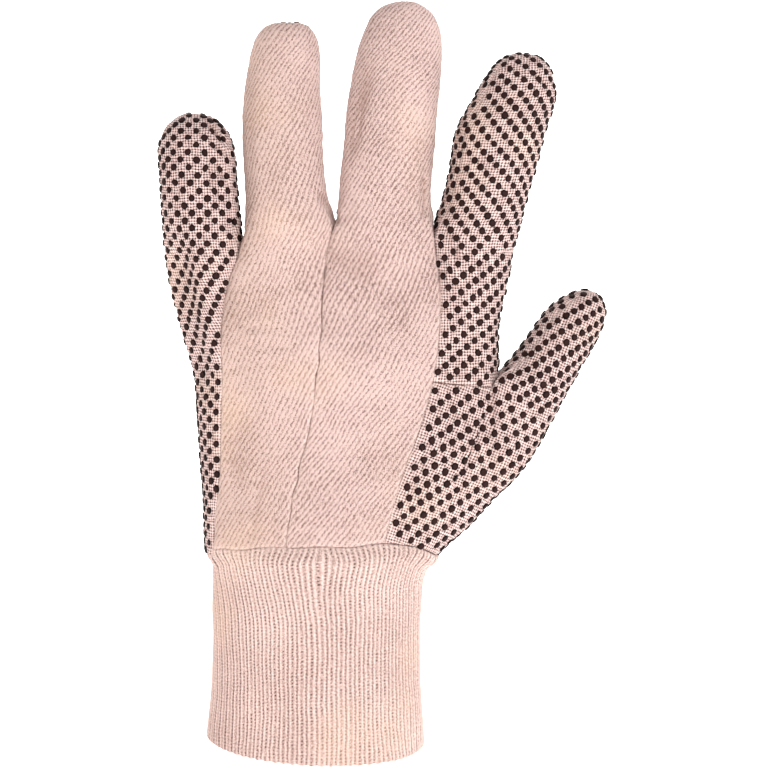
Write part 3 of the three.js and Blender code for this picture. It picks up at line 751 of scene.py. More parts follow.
def near_line(points, line):
    """Distance of each point to a line of points, and how far along the line its nearest place is: the
    nearest of the line's points is found first, then the nearest place on the two stretches beside it."""
    lengths = run_length(line)
    nearest = np.concatenate([
        np.argmin(((block[:, None, :] - line[None]) ** 2).sum(axis=-1), axis=1)
        for block in np.array_split(points, max(1, len(points) // 4000))
    ])
    best = np.full(len(points), np.inf)
    along = np.zeros(len(points))
    for shift in (-1, 0):
        i = np.clip(nearest + shift, 0, len(line) - 2)
        run = line[i + 1] - line[i]
        share = ((points - line[i]) * run).sum(axis=-1) / np.maximum((run ** 2).sum(axis=-1), 1e-9)
        share = np.clip(share, 0, 1)
        gap = np.linalg.norm(points - line[i] - share[:, None] * run, axis=-1)
        closer = gap < best
        best = np.where(closer, gap, best)
        along = np.where(closer, lengths[i] + share * (lengths[i + 1] - lengths[i]), along)
    return best, along


def weld(parts):
    """Joins the points that the grids share. Returns the points and each grid's table of point numbers."""
    flat = np.concatenate([grid.reshape(-1, 3) for grid in parts.values()])
    _, first, numbers = np.unique(np.round(flat * 1000).astype(np.int64), axis=0, return_index=True,
                                  return_inverse=True)
    numbers = numbers.reshape(-1)
    tables = {}
    start = 0
    for name, grid in parts.items():
        count = grid.shape[0] * grid.shape[1]
        tables[name] = numbers[start:start + count].reshape(grid.shape[:2])
        start += count
    return flat[first], tables


def grid_faces(table):
    """Corners of the faces between the rows of a closed-loop table, anticlockwise from outside."""
    onward = np.roll(table, -1, axis=1)
    return np.stack([table[:-1], onward[:-1], onward[1:], table[1:]], axis=-1)


def mean_normals(points, faces):
    """Unit mean of the directions of the faces round each point, the crosses of their diagonals."""
    corners = points[faces]
    across = np.cross(corners[:, 2] - corners[:, 0], corners[:, 3] - corners[:, 1])
    normals = np.zeros_like(points)
    for corner in range(4):
        np.add.at(normals, faces[:, corner], across)
    return unit(normals)


grids = build_surface()
charts = cloth_charts()
points, tables = weld(grids)
normals = mean_normals(points, np.concatenate([grid_faces(t).reshape(-1, 4) for t in tables.values()]))

# Distance to the nearest seam, place along it and its depth
seam_gap = np.full(len(points), 99.0)
seam_run = np.zeros(len(points))
seam_draw = np.ones(len(points))
for number, (names, draw, line) in enumerate(seam_paths()):
    members = np.unique(np.concatenate([tables[name].reshape(-1) for name in names]))
    gap, run = near_line(points[members], line)
    closer = gap < seam_gap[members]
    chosen = members[closer]
    seam_gap[chosen] = gap[closer]
    seam_run[chosen] = run[closer] + 37.0 * number
    seam_draw[chosen] = draw


def gathers(run):
    """Uneven gathering along a seam, from 0 to 1: two sines of about 3.4 and 7.9 mm."""
    return 0.5 + 0.3 * np.sin(2 * pi * run / 3.4 + 1.3 * np.sin(run / 5.1)) + 0.2 * np.sin(2 * pi * run / 7.9)


def seam_relief(gap, run, draw):
    """Height of the cloth near a seam: a narrow groove, a wider dip that gathers deepen, and a swell."""
    gather = gathers(run)
    groove = -0.55 * bell(gap, 0.45) - (0.1 + 0.22 * gather) * bell(gap, 1.6)
    swell = 0.18 * gather * bell(gap - 2.6, 1.3)
    return draw * (groove + swell)


relief = seam_relief(seam_gap, seam_run, seam_draw)
relief += 0.26 * ripple(points, 17, 3) + 0.13 * ripple(points, 6.5, 4) + 0.05 * ripple(points, 3.2, 5)
# Depth of the small folds: it dents the surface and, stored as crease, also paints shade into the folds
crease = dent_depth(FOLDS, points[:, 0], points[:, 2]) * smooth(0.0, 0.35, -normals[:, 1])
relief -= 1.4 * crease
surface = points + normals * relief[:, None]


# Meshes

def make_piece(name, at, faces, flat=None, smooth_shade=True, **values):
    """Makes an object from points in millimetres, four-cornered faces whose repeated corners are dropped,
    cloth coordinates for each corner, and named numbers for each point."""
    kept = faces != np.roll(faces, 1, axis=1)
    totals = kept.sum(axis=1)
    alive = totals > 2
    kept, faces, totals = kept[alive], faces[alive], totals[alive]
    mesh = bpy.data.meshes.new(name)
    mesh.vertices.add(len(at))
    mesh.vertices.foreach_set("co", ((at + [0.0, 0.0, LIFT]) * MM).astype(np.float32).reshape(-1))
    mesh.loops.add(int(totals.sum()))
    mesh.loops.foreach_set("vertex_index", faces[kept].astype(np.int32))
    mesh.polygons.add(len(faces))
    mesh.polygons.foreach_set("loop_start", (np.cumsum(totals) - totals).astype(np.int32))
    mesh.polygons.foreach_set("use_smooth", np.full(len(faces), smooth_shade))
    if flat is not None:
        layer = mesh.uv_layers.new(name="cloth")
        layer.data.foreach_set("uv", flat[alive][kept].astype(np.float32).reshape(-1))
    for label, numbers in values.items():
        stored = mesh.attributes.new(label, "FLOAT", "POINT")
        stored.data.foreach_set("value", numbers.astype(np.float32))
    mesh.update(calc_edges=True)
    mesh.validate()
    piece = bpy.data.objects.new(name, mesh)
    bpy.context.scene.collection.objects.link(piece)
    return piece


def patch_faces(grid, first, flat):
    """Faces of one patch of cloth, and the cloth coordinates of their corners."""
    table = tables[grid]
    columns_used = np.arange(first, first + flat.shape[1]) % table.shape[1]
    return face_corners(table[:, columns_used]), face_corners(flat)


def cloth_piece(name, patches):
    """A closed wall of cloth: its faces, the same faces a thickness further in, and a strip along each open
    edge."""
    found = [patch_faces(grid, first, flat) for grid, first, flat in patches]
    faces = np.concatenate([pair[0] for pair in found])
    flat = np.concatenate([pair[1] for pair in found])
    onward = np.roll(faces, -1, axis=1)
    total = len(points)
    codes = faces * total + onward
    real = faces != onward
    open_edge = real & ~np.isin(codes, onward[real] * total + faces[real])
    at_face, at_corner = np.nonzero(open_edge)
    next_corner = (at_corner + 1) % 4
    used, local = np.unique(faces, return_inverse=True)
    local = local.reshape(faces.shape)
    count = len(used)
    a, b = local[at_face, at_corner], local[at_face, next_corner]
    strip = np.stack([b, a, a + count, b + count], axis=-1)
    strip_a, strip_b = flat[at_face, at_corner], flat[at_face, next_corner]
    strip_flat = np.stack([strip_b, strip_a, strip_a, strip_b], axis=1)
    inner = points[used] - normals[used] * CLOTH_THICKNESS
    gap = np.concatenate([seam_gap[used], np.full(count, 99.0)])
    run = np.concatenate([seam_run[used], seam_run[used]])
    draw = np.concatenate([seam_draw[used], seam_draw[used]])
    return make_piece(
        name,
        np.concatenate([surface[used], inner]),
        np.concatenate([local, (local + count)[:, ::-1], strip]),
        np.concatenate([flat, flat[:, ::-1], strip_flat]),
        seam=gap, run=run, draw=draw, crease=np.concatenate([crease[used], np.zeros(count)]),
    )


def picked_patches(piece, *names):
    return [(grid, first, flat) for grid, owner, first, flat in charts if owner == piece and grid in names]


# Cuff: a rib-knit tube

def cuff_shape():
    """Rows of the cuff from its rim up to the seam: ovals |x/w|^b + |y/h|^b = 1 of the table's sizes that
    ease into the hand's first row above. Columns lie at even lengths round an oval and round that row,
    shifted to the left just under the seam and to the right at the lower left."""
    top = grids["lower"][0]
    closed = np.concatenate([top, top[:1]])
    length = run_length(closed)
    count = RIB_COUNT * RIB_STEPS
    portion = np.arange(count) / count
    share = np.linspace(0, 1, CUFF_ROWS + 1)[:, None]
    start = np.arctan2(-top[0, 1] / SEAM_OVAL[1], (top[0, 0] - SEAM_MIDDLE) / SEAM_OVAL[0])
    spare = 0.6
    turn = np.linspace(start + spare, start - 2 * pi - spare, 4000)
    round_oval = run_length(np.stack([CUFF_OVAL[0] * np.cos(turn), CUFF_OVAL[1] * np.sin(turn)], axis=-1))
    begin = np.interp(spare, start + spare - turn, round_oval)
    total = np.interp(spare + 2 * pi, start + spare - turn, round_oval) - begin
    beside_left = np.minimum(portion, 1 - portion) * total / LEFT_LEAN_REACH
    shift = SEAM_TWIST * smooth(0.62, 1, share) + LEFT_LEAN * (1 - share) * bell(beside_left, 1.0)
    angle = np.interp(begin + portion * total + shift, round_oval, turn)
    place = (portion * length[-1] + SEAM_TWIST) % length[-1]
    top = np.stack([np.interp(place, length, closed[:, i]) for i in range(3)], axis=-1)
    level = share * top[None, :, 2]
    left, right, half_depth, boxiness = (
        lookup(CUFF, name, level) for name in ("left", "right", "half_depth", "boxiness"))
    power = 2 / boxiness
    x = (left + right) / 2 + (right - left) / 2 * np.sign(np.cos(angle)) * np.abs(np.cos(angle)) ** power
    y = -half_depth * np.sign(np.sin(angle)) * np.abs(np.sin(angle)) ** power
    settle = smooth(0.92, 1, share)
    x = mix(x, top[:, 0], settle)
    y = mix(y, top[:, 1], settle)
    front = y / RIM_DEPTH
    rim = (1 - share) * (RIM_TILT * front - RIM_DROOP * front ** 2 - RIM_SLANT * (x + 8))
    return np.stack([x, y, level + rim + 1.0 * (1 - share) ** 4], axis=-1)


def rib_profile(phase):
    """Height of the knit across one rib: a narrow groove at 0, a wale at a fifth and at four fifths, and a
    sunken band between them."""
    phase = phase - np.floor(phase)
    side = np.minimum(phase, 1 - phase)
    groove = -0.34 * bell(side, 0.08)
    wale = 0.24 * bell(side - 0.19, 0.1)
    band = -0.1 * bell(side - 0.5, 0.14)
    return groove + wale + band


def make_cuff():
    """The cuff as one closed ring: its ribbed outside, its inside and a rounded rim."""
    rows = cuff_shape()
    step_round = np.roll(rows, -1, axis=1) - np.roll(rows, 1, axis=1)
    step_up = np.gradient(rows, axis=0)
    out = unit(np.cross(step_round, step_up))
    count = rows.shape[1]
    across = np.arange(count) / RIB_STEPS
    height = rows[..., 2]
    wander = 0.1 * ripple(rows, 24, 8) + 0.03 * ripple(rows, 5, 9)
    phase = across + wander
    seam_line = np.concatenate([grids["lower"][0], grids["lower"][0][:1]])
    gap, run = near_line(rows.reshape(-1, 3), seam_line)
    gap, run = gap.reshape(height.shape), run.reshape(height.shape)
    relief = rib_profile(phase) * smooth(0.2, 3.0, gap) * mix(0.75, 1.0, smooth(0, 4, height))
    relief += seam_relief(gap, run, 0.8) + 0.25 * ripple(rows, 21, 11)
    outside = rows + out * relief[..., None]
    outside[..., 2] += 0.18 * np.cos(2 * pi * phase) * (1 - smooth(0, 2.5, height))
    middle = outside[0] - out[0] * CUFF_THICKNESS / 2
    turn = (np.arange(1, RIM_STEPS) / RIM_STEPS * pi)[::-1, None, None]
    down = np.array([0.0, 0.0, -1.0])
    rim = middle + CUFF_THICKNESS / 2 * (out[0] * np.cos(turn) + down * np.sin(turn))
    inner_rows = np.linspace(CUFF_ROWS, 0, INNER_CUFF_ROWS).astype(int)
    inside = (rows - out * CUFF_THICKNESS)[inner_rows]
    ring = np.concatenate([outside, inside, rim])
    total = len(ring)
    table = np.arange(total * count).reshape(total, count)
    table = np.concatenate([table, table[:1]])
    u = np.arange(count + 1) / RIB_STEPS + np.concatenate([wander, wander[:, :1]], axis=1)
    v = np.concatenate([height, height[:, :1]], axis=1)
    row_of = np.concatenate([np.arange(CUFF_ROWS + 1), inner_rows, np.zeros(RIM_STEPS, dtype=int)])
    drop = np.zeros(total + 1)
    drop[CUFF_ROWS + 1 + INNER_CUFF_ROWS:-1] = -1.0
    flat = np.stack([u[row_of], v[row_of] + drop[:, None]], axis=-1)
    inner_gap = np.full((total - CUFF_ROWS - 1, count), 99.0)
    return make_piece(
        "cuff_knit",
        ring.reshape(-1, 3),
        grid_faces(table).reshape(-1, 4),
        face_corners(flat),
        seam=np.concatenate([gap, inner_gap]).reshape(-1),
        run=np.concatenate([run, inner_gap]).reshape(-1),
        draw=np.full(total * count, 0.3),
        crease=np.zeros(total * count),
    )


# Dots of the canvas

def dot_places(piece, names, lattice, area):
    """Points i a + j b of a lattice that fall on the cloth: in each triangle of the cloth coordinates the
    lattice point nearest its middle counts if it lies inside, moved by a slow wander of half a millimetre.
    Returns places, directions out of the cloth and directions up the cloth, for the points in the given area
    that no earlier dot is close to."""
    places, outs, ups = [], [], []
    steps = np.array(lattice)
    back = np.linalg.inv(steps)
    for grid, first, flat in picked_patches(piece, *names):
        faces, corners = patch_faces(grid, first, flat)
        for picked in ((0, 1, 2), (0, 2, 3)):
            triangle = corners[:, picked]
            numbers = faces[:, picked]
            spot = np.round(triangle.mean(axis=1) @ back) @ steps
            first_side = triangle[:, 1] - triangle[:, 0]
            second_side = triangle[:, 2] - triangle[:, 0]
            to_spot = spot - triangle[:, 0]
            whole = first_side[:, 0] * second_side[:, 1] - first_side[:, 1] * second_side[:, 0]
            whole = np.where(np.abs(whole) < 1e-9, 1e-9, whole)
            s = (to_spot[:, 0] * second_side[:, 1] - to_spot[:, 1] * second_side[:, 0]) / whole
            t = (first_side[:, 0] * to_spot[:, 1] - first_side[:, 1] * to_spot[:, 0]) / whole
            inside = (s >= 0) & (t >= 0) & (s + t < 1)
            weights = np.stack([1 - s - t, s, t], axis=-1)[inside][..., None]
            numbers = numbers[inside]
            corners_at = surface[numbers]
            spots = (corners_at * weights).sum(axis=1)
            clear = seam_gap[numbers].min(axis=1) > DOT_FROM_SEAM
            for earlier in places:
                space = np.linalg.norm(spots[:, None] - earlier[None], axis=-1).min(axis=1, initial=99.0)
                clear &= space > PATCH_DOT_SPACE
            places.append(spots[clear])
            outs.append(unit((normals[numbers] * weights).sum(axis=1))[clear])
            side_a = corners_at[:, 1] - corners_at[:, 0]
            side_b = corners_at[:, 2] - corners_at[:, 0]
            fa, fb = first_side[inside], second_side[inside]
            size = (fa[:, 0] * fb[:, 1] - fa[:, 1] * fb[:, 0])[:, None]
            ups.append(unit((side_b * fa[:, :1] - side_a * fb[:, :1]) / size)[clear])
    places, outs, ups = np.concatenate(places), np.concatenate(outs), np.concatenate(ups)
    sides = unit(np.cross(ups, outs))
    wander = np.stack([ripple(places, 26, 31), ripple(places, 26, 32)], axis=-1) * DOT_WANDER
    places = places + sides * wander[:, :1] + np.cross(outs, sides) * wander[:, 1:]
    near_index = (places[:, 0] > 38) & (outs[:, 1] < 0.1)
    kept = {"all": np.full(len(places), True), "index": near_index, "rest": ~near_index}[area]
    for earlier in dots_so_far:
        gap = np.linalg.norm(places[:, None] - earlier[None], axis=-1).min(axis=1)
        kept &= gap > DOT_SPACE
    dots_so_far.append(places[kept])
    return places[kept], outs[kept], ups[kept]


def make_dots(name, places, outs, ups, size, seed):
    """Low many-sided domes: four rings of points and a middle one, at shares of the radius and of the
    height. Each outline is uneven by 1 + a cos 2(t - p) + b cos 3(t - q) round the angle t."""
    chance = np.random.default_rng(seed)
    count, sides = len(places), DOT_SIDES
    radius = np.array([1.0, 1.02, 0.8, 0.42])
    rise = np.array([-0.7, 0.35, 0.86, 1.0])
    angle = np.arange(sides) / sides * 2 * pi
    spread, oval, lobes, lean, turn = chance.normal(size=(5, count, 1, 1))
    uneven = 1 + 0.05 * spread + 0.06 * oval * np.cos(2 * (angle - lean))
    uneven = uneven + 0.04 * lobes * np.cos(3 * (angle - turn))
    reach = size * radius[None, :, None] * uneven
    wide = reach * np.cos(angle)
    tall = reach * np.sin(angle) * 1.07
    high = DOT_HEIGHT * rise[None, :, None] * (1 + 0.12 * chance.normal(size=(count, 1, 1)))
    side = unit(np.cross(ups, outs))
    up = np.cross(outs, side)
    grid = (places[:, None, None] + side[:, None, None] * wide[..., None]
            + up[:, None, None] * tall[..., None] + outs[:, None, None] * (high + 0 * wide)[..., None])
    middle = places + outs * DOT_HEIGHT
    base = places - outs * 0.7 * DOT_HEIGHT
    at = np.concatenate([grid.reshape(count, -1, 3), middle[:, None], base[:, None]], axis=1)
    step = len(radius) * sides + 2
    ring = np.arange(len(radius) * sides).reshape(len(radius), sides)
    onward = np.roll(ring, -1, axis=1)
    bands = np.stack([ring[:-1], onward[:-1], onward[1:], ring[1:]], axis=-1).reshape(-1, 4)
    crown = np.stack([ring[-1], onward[-1], np.full(sides, step - 2), np.full(sides, step - 2)], axis=-1)
    foot = np.stack([onward[0], ring[0], np.full(sides, step - 1), np.full(sides, step - 1)], axis=-1)
    one = np.concatenate([bands, crown, foot])
    faces = (one[None] + np.arange(count)[:, None, None] * step).reshape(-1, 4)
    shares = np.concatenate([np.repeat(radius, sides), [0.0, 1.0]])
    tone = np.repeat(chance.uniform(0, 1, count), step)
    return make_piece(name, at.reshape(-1, 3), faces, edge=np.tile(shares, count), tone=tone)


# Materials

def colour(red, green, blue):
    """Linear colour from display numbers of 0 to 255."""
    share = np.array([red, green, blue]) / 255
    linear = np.where(share <= 0.04045, share / 12.92, ((share + 0.055) / 1.055) ** 2.4)
    return (*(float(c) for c in linear), 1.0)


class Number:
    """A number that varies over a surface. Arithmetic on it adds Math nodes to its material."""

    def __init__(self, paint, socket):
        self.paint = paint
        self.socket = socket

    def __add__(self, other):
        return self.paint.math("ADD", self, other)

    __radd__ = __add__

    def __sub__(self, other):
        return self.paint.math("SUBTRACT", self, other)

    def __rsub__(self, other):
        return self.paint.math("SUBTRACT", other, self)

    def __mul__(self, other):
        return self.paint.math("MULTIPLY", self, other)

    __rmul__ = __mul__

    def __truediv__(self, other):
        return self.paint.math("DIVIDE", self, other)

    def __rtruediv__(self, other):
        return self.paint.math("DIVIDE", other, self)

    def __pow__(self, other):
        return self.paint.math("POWER", self, other)


class Paint:
    """A material and the nodes of its pattern."""

    def __init__(self, name, **constant):
        self.material = bpy.data.materials.new(name)
        self.material.use_nodes = True
        self.tree = self.material.node_tree
        self.tree.nodes.clear()
        self.shader = self.node("ShaderNodeBsdfPrincipled", {}, constant)
        self.node("ShaderNodeOutputMaterial", {}, {"Surface": self.shader.outputs["BSDF"]})

    def node(self, kind, settings, sockets):
        """Adds a node: first its settings, then the value or link of each socket, by name or number."""
        made = self.tree.nodes.new(kind)
        for name, value in settings.items():
            setattr(made, name, value)
        for key, value in sockets.items():
            self.put(made.inputs[key.replace("_", " ") if isinstance(key, str) else key], value)
        return made

    def put(self, socket, value):
        value = value.socket if isinstance(value, Number) else value
        if isinstance(value, bpy.types.NodeSocket):
            self.tree.links.new(value, socket)
        else:
            socket.default_value = value

    def math(self, operation, *values):
        made = self.node("ShaderNodeMath", {"operation": operation}, dict(enumerate(values)))
        return Number(self, made.outputs[0])

    def sine(self, value):
        return self.math("SINE", value * (2 * pi))

    def size_of(self, value):
        return self.math("ABSOLUTE", value)

    def ease(self, low, high, value):
        """Eases from 0 at low to 1 at high."""
        made = self.node("ShaderNodeMapRange", {"interpolation_type": "SMOOTHSTEP"}, {
            "Value": value, "From Min": low, "From Max": high, "To Min": 0.0, "To Max": 1.0})
        return Number(self, made.outputs["Result"])

    def cloth(self):
        """Cloth coordinates in millimetres: across and up."""
        made = self.node("ShaderNodeUVMap", {"uv_map": "cloth"}, {})
        parts = self.node("ShaderNodeSeparateXYZ", {}, {"Vector": made.outputs["UV"]})
        return Number(self, parts.outputs["X"]), Number(self, parts.outputs["Y"])

    def place(self):
        """Place on the object, in metres."""
        return self.node("ShaderNodeTexCoord", {}, {}).outputs["Object"]

    def across(self):
        """Place across the object, in metres."""
        parts = self.node("ShaderNodeSeparateXYZ", {}, {"Vector": self.place()})
        return Number(self, parts.outputs["X"])

    def stored(self, name):
        made = self.node("ShaderNodeAttribute", {"attribute_name": name}, {})
        return Number(self, made.outputs["Fac"])

    def vector(self, x, y, z=0.0):
        return self.node("ShaderNodeCombineXYZ", {}, {"X": x, "Y": y, "Z": z}).outputs["Vector"]

    def noise(self, where, scale, detail=2.0, rough=0.5):
        """Cloudy noise, about 0.2 to 0.8 with its mean at a half."""
        made = self.node("ShaderNodeTexNoise", {"noise_dimensions": "3D"}, {
            "Vector": where, "Scale": scale, "Detail": detail, "Roughness": rough})
        return Number(self, made.outputs["Fac"])

    def blend(self, share, start, end):
        made = self.node("ShaderNodeMix", {"data_type": "RGBA"}, {0: share, 6: start, 7: end})
        return made.outputs[2]

    def bump(self, height, strength):
        """Bump of a height in millimetres."""
        made = self.node("ShaderNodeBump", {}, {"Height": height, "Strength": strength, "Distance": MM})
        return made.outputs["Normal"]

    def finish(self, base, rough, normal):
        self.put(self.shader.inputs["Base Color"], base)
        self.put(self.shader.inputs["Roughness"], rough)
        self.put(self.shader.inputs["Normal"], normal)
        return self.material


def patches_and_painted_light(paint, base):
    """Adds faint tan patches to a colour, paints shade into folds and into the groove of a seam, in uneven
    lengths along it, and paints a highlight on the turn beside the seam."""
    patches = paint.ease(0.5, 0.72, paint.noise(paint.place(), 26.0, 2.0))
    base = paint.blend(patches * 0.2, base, colour(226, 194, 164))
    # Painted shade in the folds, by their stored depth
    base = paint.blend(paint.ease(0.05, 1.0, paint.stored("crease")) * 0.5, base, colour(*FOLD_SHADE))
    gap, run, draw = paint.stored("seam"), paint.stored("run"), paint.stored("draw")
    stitch = 0.5 + 0.5 * paint.sine(run / 2.7 + 0.6 * paint.sine(run / 9.1))
    patchy = paint.ease(0.36, 0.6, paint.noise(paint.vector(run, 0.0), 0.085, 2.0))
    # Painted shade in the seam's groove, in uneven lengths along it, scaled by the seam's depth
    deep = 1 - paint.ease(0.06, 0.24 + 0.16 * stitch + 0.12 * patchy, gap)
    # Painted highlight on the turn of the cloth beside the seam
    turn = (1 - paint.ease(0.4, 1.7, gap)) * 0.15
    base = paint.blend(turn, base, colour(246, 222, 213))
    return paint.blend(deep * (0.1 + 0.36 * stitch * patchy + 0.5 * patchy) * draw, base, colour(*SEAM_SHADE))


def drill_paint():
    """Cotton drill: slanting twill lines 1.57 mm apart that swing by a few degrees along the cloth, with soft
    valleys, dark specks in them and fine streaks along the threads."""
    paint = Paint("cotton_drill", **COTTON)
    u, v = paint.cloth()
    where = paint.vector(u, v)
    drift = paint.noise(where, 0.05, 1.0) * 2.6
    fleck = paint.noise(where, 1.0, 2.0)
    fuzz = paint.noise(where, 2.7, 2.0)
    streak = paint.noise(paint.vector(u * 2.4, v * 0.7), 0.9, 2.0)
    swing = paint.sine((v - 168) / 160) * 1.65
    wave = paint.sine(u * 0.537 - v * 0.342 + swing + drift + (fleck - 0.5) * 0.9)
    valley = 1 - paint.ease(-1.0, 0.5, wave)
    dashes = paint.ease(0.36, 0.66, paint.noise(paint.vector(u * 1.1, v * 0.8), 1.1, 1.0))
    specks = valley * paint.ease(0.58, 0.68, paint.noise(where, 1.5, 1.0))
    cloud = paint.noise(paint.place(), 45.0, 3.0)
    height = 0.13 * (1 - valley) + 0.1 * fuzz + 0.05 * streak - 0.1 * specks
    tone = paint.ease(0.0, 1.0, 0.84 - valley * (0.27 + 0.36 * dashes) + (streak - 0.5) * 1.1
                      + (fuzz - 0.5) * 1.8 + (cloud - 0.5) * 0.9)
    base = paint.blend(tone, colour(*DRILL_DARK), colour(*DRILL_LIGHT))
    # Painted shade, warm and tan, over the left part of the drill, where less light falls
    left = 1 - paint.ease(-0.035, 0.008, paint.across() + (cloud - 0.5) * 0.02)
    base = paint.blend(left * 0.24, base, colour(166, 138, 112))
    base = paint.blend(specks * 0.75, base, colour(*DRILL_GAP))
    return paint.finish(patches_and_painted_light(paint, base), 0.95, paint.bump(height, 0.8))


def canvas_paint():
    """Cotton canvas in plain weave with threads 1 mm apart: crowns |sin u sin v| and dark pores between."""
    paint = Paint("cotton_canvas", **COTTON)
    u, v = paint.cloth()
    where = paint.vector(u, v)
    across = paint.size_of(paint.sine((u + paint.noise(where, 0.35, 1.0) * 0.9) * 0.5))
    up = paint.size_of(paint.sine((v + paint.noise(paint.vector(v, u), 0.3, 1.0) * 0.9) * 0.5))
    crown = across * up
    chance = paint.noise(where, 0.9, 2.0)
    pore = paint.ease(0.02, 0.24, (1 - across) * (1 - up)) * paint.ease(0.26, 0.52, chance)
    slub = paint.noise(paint.vector(u * 0.25, v * 2.2), 0.6, 2.0) + paint.noise(
        paint.vector(u * 2.2, v * 0.25), 0.6, 2.0) - 1.0
    fuzz = paint.noise(where, 3.2, 2.0)
    cloud = paint.noise(paint.place(), 45.0, 3.0)
    height = 0.18 * crown ** 0.5 - 0.14 * pore + 0.06 * slub + 0.06 * fuzz
    tone = paint.ease(0.0, 1.0, 0.3 + 0.55 * crown + slub * 1.1 + (cloud - 0.5) * 0.4 + (fuzz - 0.5) * 0.6)
    base = paint.blend(tone, colour(*CANVAS_DARK), colour(*CANVAS_LIGHT))
    base = paint.blend(pore * 0.95, base, colour(*CANVAS_PORE))
    return paint.finish(patches_and_painted_light(paint, base), 0.95, paint.bump(height, 0.8))


def knit_paint():
    """Rib knit: each rib has a broken dark line, two thin raised wales of slanted stitches and, between them,
    a band with a column of small gaps between the courses, which are 1.18 mm high."""
    paint = Paint("rib_knit_cotton", **COTTON)
    u, v = paint.cloth()
    where = paint.vector(u * RIB_WIDTH, v)
    fleck = paint.noise(where, 1.1, 2.0)
    broad = paint.noise(where, 0.16, 2.0)
    fuzz = paint.noise(where, 3.2, 2.0)
    course = v / 1.18 + 1.2 * paint.noise(paint.vector(u * 0.9, v * 0.08), 1.0, 1.0)
    phase = paint.math("FRACT", u + 0.02 * paint.sine(course) + (fleck - 0.5) * 0.12)
    side = paint.math("MINIMUM", phase, 1 - phase)
    stitch = 0.5 + 0.5 * paint.sine(course + side * 1.6)
    dash = paint.ease(0.25, 0.8, stitch) * paint.ease(0.3, 0.56, fleck)
    groove = (1 - paint.ease(0.02, 0.12, side)) * (0.12 + 0.88 * dash)
    wale = 1 - paint.ease(0.02, 0.12, paint.size_of(side - 0.22))
    band = paint.ease(0.3, 0.42, side)
    other = 0.5 - 0.5 * paint.sine(course + 0.25)
    between = paint.ease(0.25, 0.8, other) * paint.ease(0.3, 0.56, paint.noise(where, 0.95, 2.0))
    holes = paint.ease(0.37, 0.47, side) * between
    x = paint.across()
    middle = paint.ease(-0.037, -0.02, x) * (1 - paint.ease(0.026, 0.038, x))
    gaps = holes * (0.45 + 0.55 * paint.ease(0.34, 0.56, broad)) * (0.25 + 0.75 * middle)
    # Towards the cuff's sides every groove also gets painted shade: a continuous dark line
    groove = groove * (0.3 + 0.6 * middle) + (1 - middle) * (1 - paint.ease(0.0, 0.19, side)) * 0.64
    cloud = paint.noise(paint.place(), 40.0, 3.0)
    height = 0.12 * wale * (0.5 + 0.5 * stitch) - 0.18 * gaps - 0.08 * groove + 0.09 * fuzz
    tone = paint.ease(0.0, 1.0, 0.45 + 0.34 * wale * (0.6 + 0.4 * stitch) - 0.1 * band
                      + (cloud - 0.5) * 0.5 + (fuzz - 0.5) * 2.2 + (fleck - 0.5) * 1.1)
    base = paint.blend(tone, colour(*KNIT_DARK), colour(*KNIT_LIGHT))
    base = paint.blend(paint.math("MAXIMUM", gaps, groove), base, colour(*KNIT_GROOVE_AND_SHADE))
    return paint.finish(patches_and_painted_light(paint, base), 0.96, paint.bump(height, 0.8))


def dot_paint():
    """Soft dark pvc: dull on top, a little lighter in the middle by a painted highlight, and darker round the
    rim.
    """
    paint = Paint("pvc_dots", **{"Specular IOR Level": 0.12})
    edge, tone = paint.stored("edge"), paint.stored("tone")
    grain = paint.noise(paint.place(), 1500.0, 2.0)
    rim = paint.ease(0.4, 0.95, edge)
    # Painted highlight: the middle of each dome lighter than its rim
    base = paint.blend(rim, colour(*DOT_MIDDLE_HIGHLIGHT), colour(*DOT_RIM))
    base = paint.blend(paint.ease(0.5, 0.75, grain) * 0.3 + tone * 0.2, base, colour(*DOT_FLECK))
    return paint.finish(base, 0.5 + 0.25 * grain, paint.bump(grain * 0.12, 0.8))


def floor_paint():
    """Matt near-white paint with the faintest cloud, glowing so that it stays pale in shade."""
    paint = Paint("pale_floor", Roughness=0.95, **{
        "Specular IOR Level": 0.1, "Emission Color": colour(255, 252, 250), "Emission Strength": 0.97})
    cloud = paint.noise(paint.place(), 3.0, 2.0)
    base = paint.blend(cloud, colour(250, 250, 250), colour(255, 255, 255))
    paint.put(paint.shader.inputs["Base Color"], base)
    return paint.material


# The pieces

DRILL_DARK, DRILL_LIGHT, DRILL_GAP = (132, 106, 100), (205, 179, 173), (86, 60, 54)
CANVAS_DARK, CANVAS_LIGHT, CANVAS_PORE = (165, 137, 132), (230, 203, 198), (60, 38, 34)
# The knit's groove colour also paints shade into the grooves at the cuff's sides
KNIT_DARK, KNIT_LIGHT, KNIT_GROOVE_AND_SHADE = (166, 138, 130), (229, 204, 197), (72, 47, 40)
DOT_MIDDLE_HIGHLIGHT, DOT_RIM, DOT_FLECK = (38, 16, 14), (6, 2, 2), (56, 30, 27)
# Colours of the painted shade in the seams' grooves and in the folds
SEAM_SHADE, FOLD_SHADE = (96, 66, 54), (140, 108, 94)
COTTON = {"Sheen Weight": 0.1, "Sheen Roughness": 0.5, "Specular IOR Level": 0.12}


def dress(piece, paint, slot, *nodes):
    """Gives a piece its material and the nodes that it stands for; slot is not used."""
    piece.data.materials.append(paint)
    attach(piece, "root")
    if nodes:
        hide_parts(*nodes)


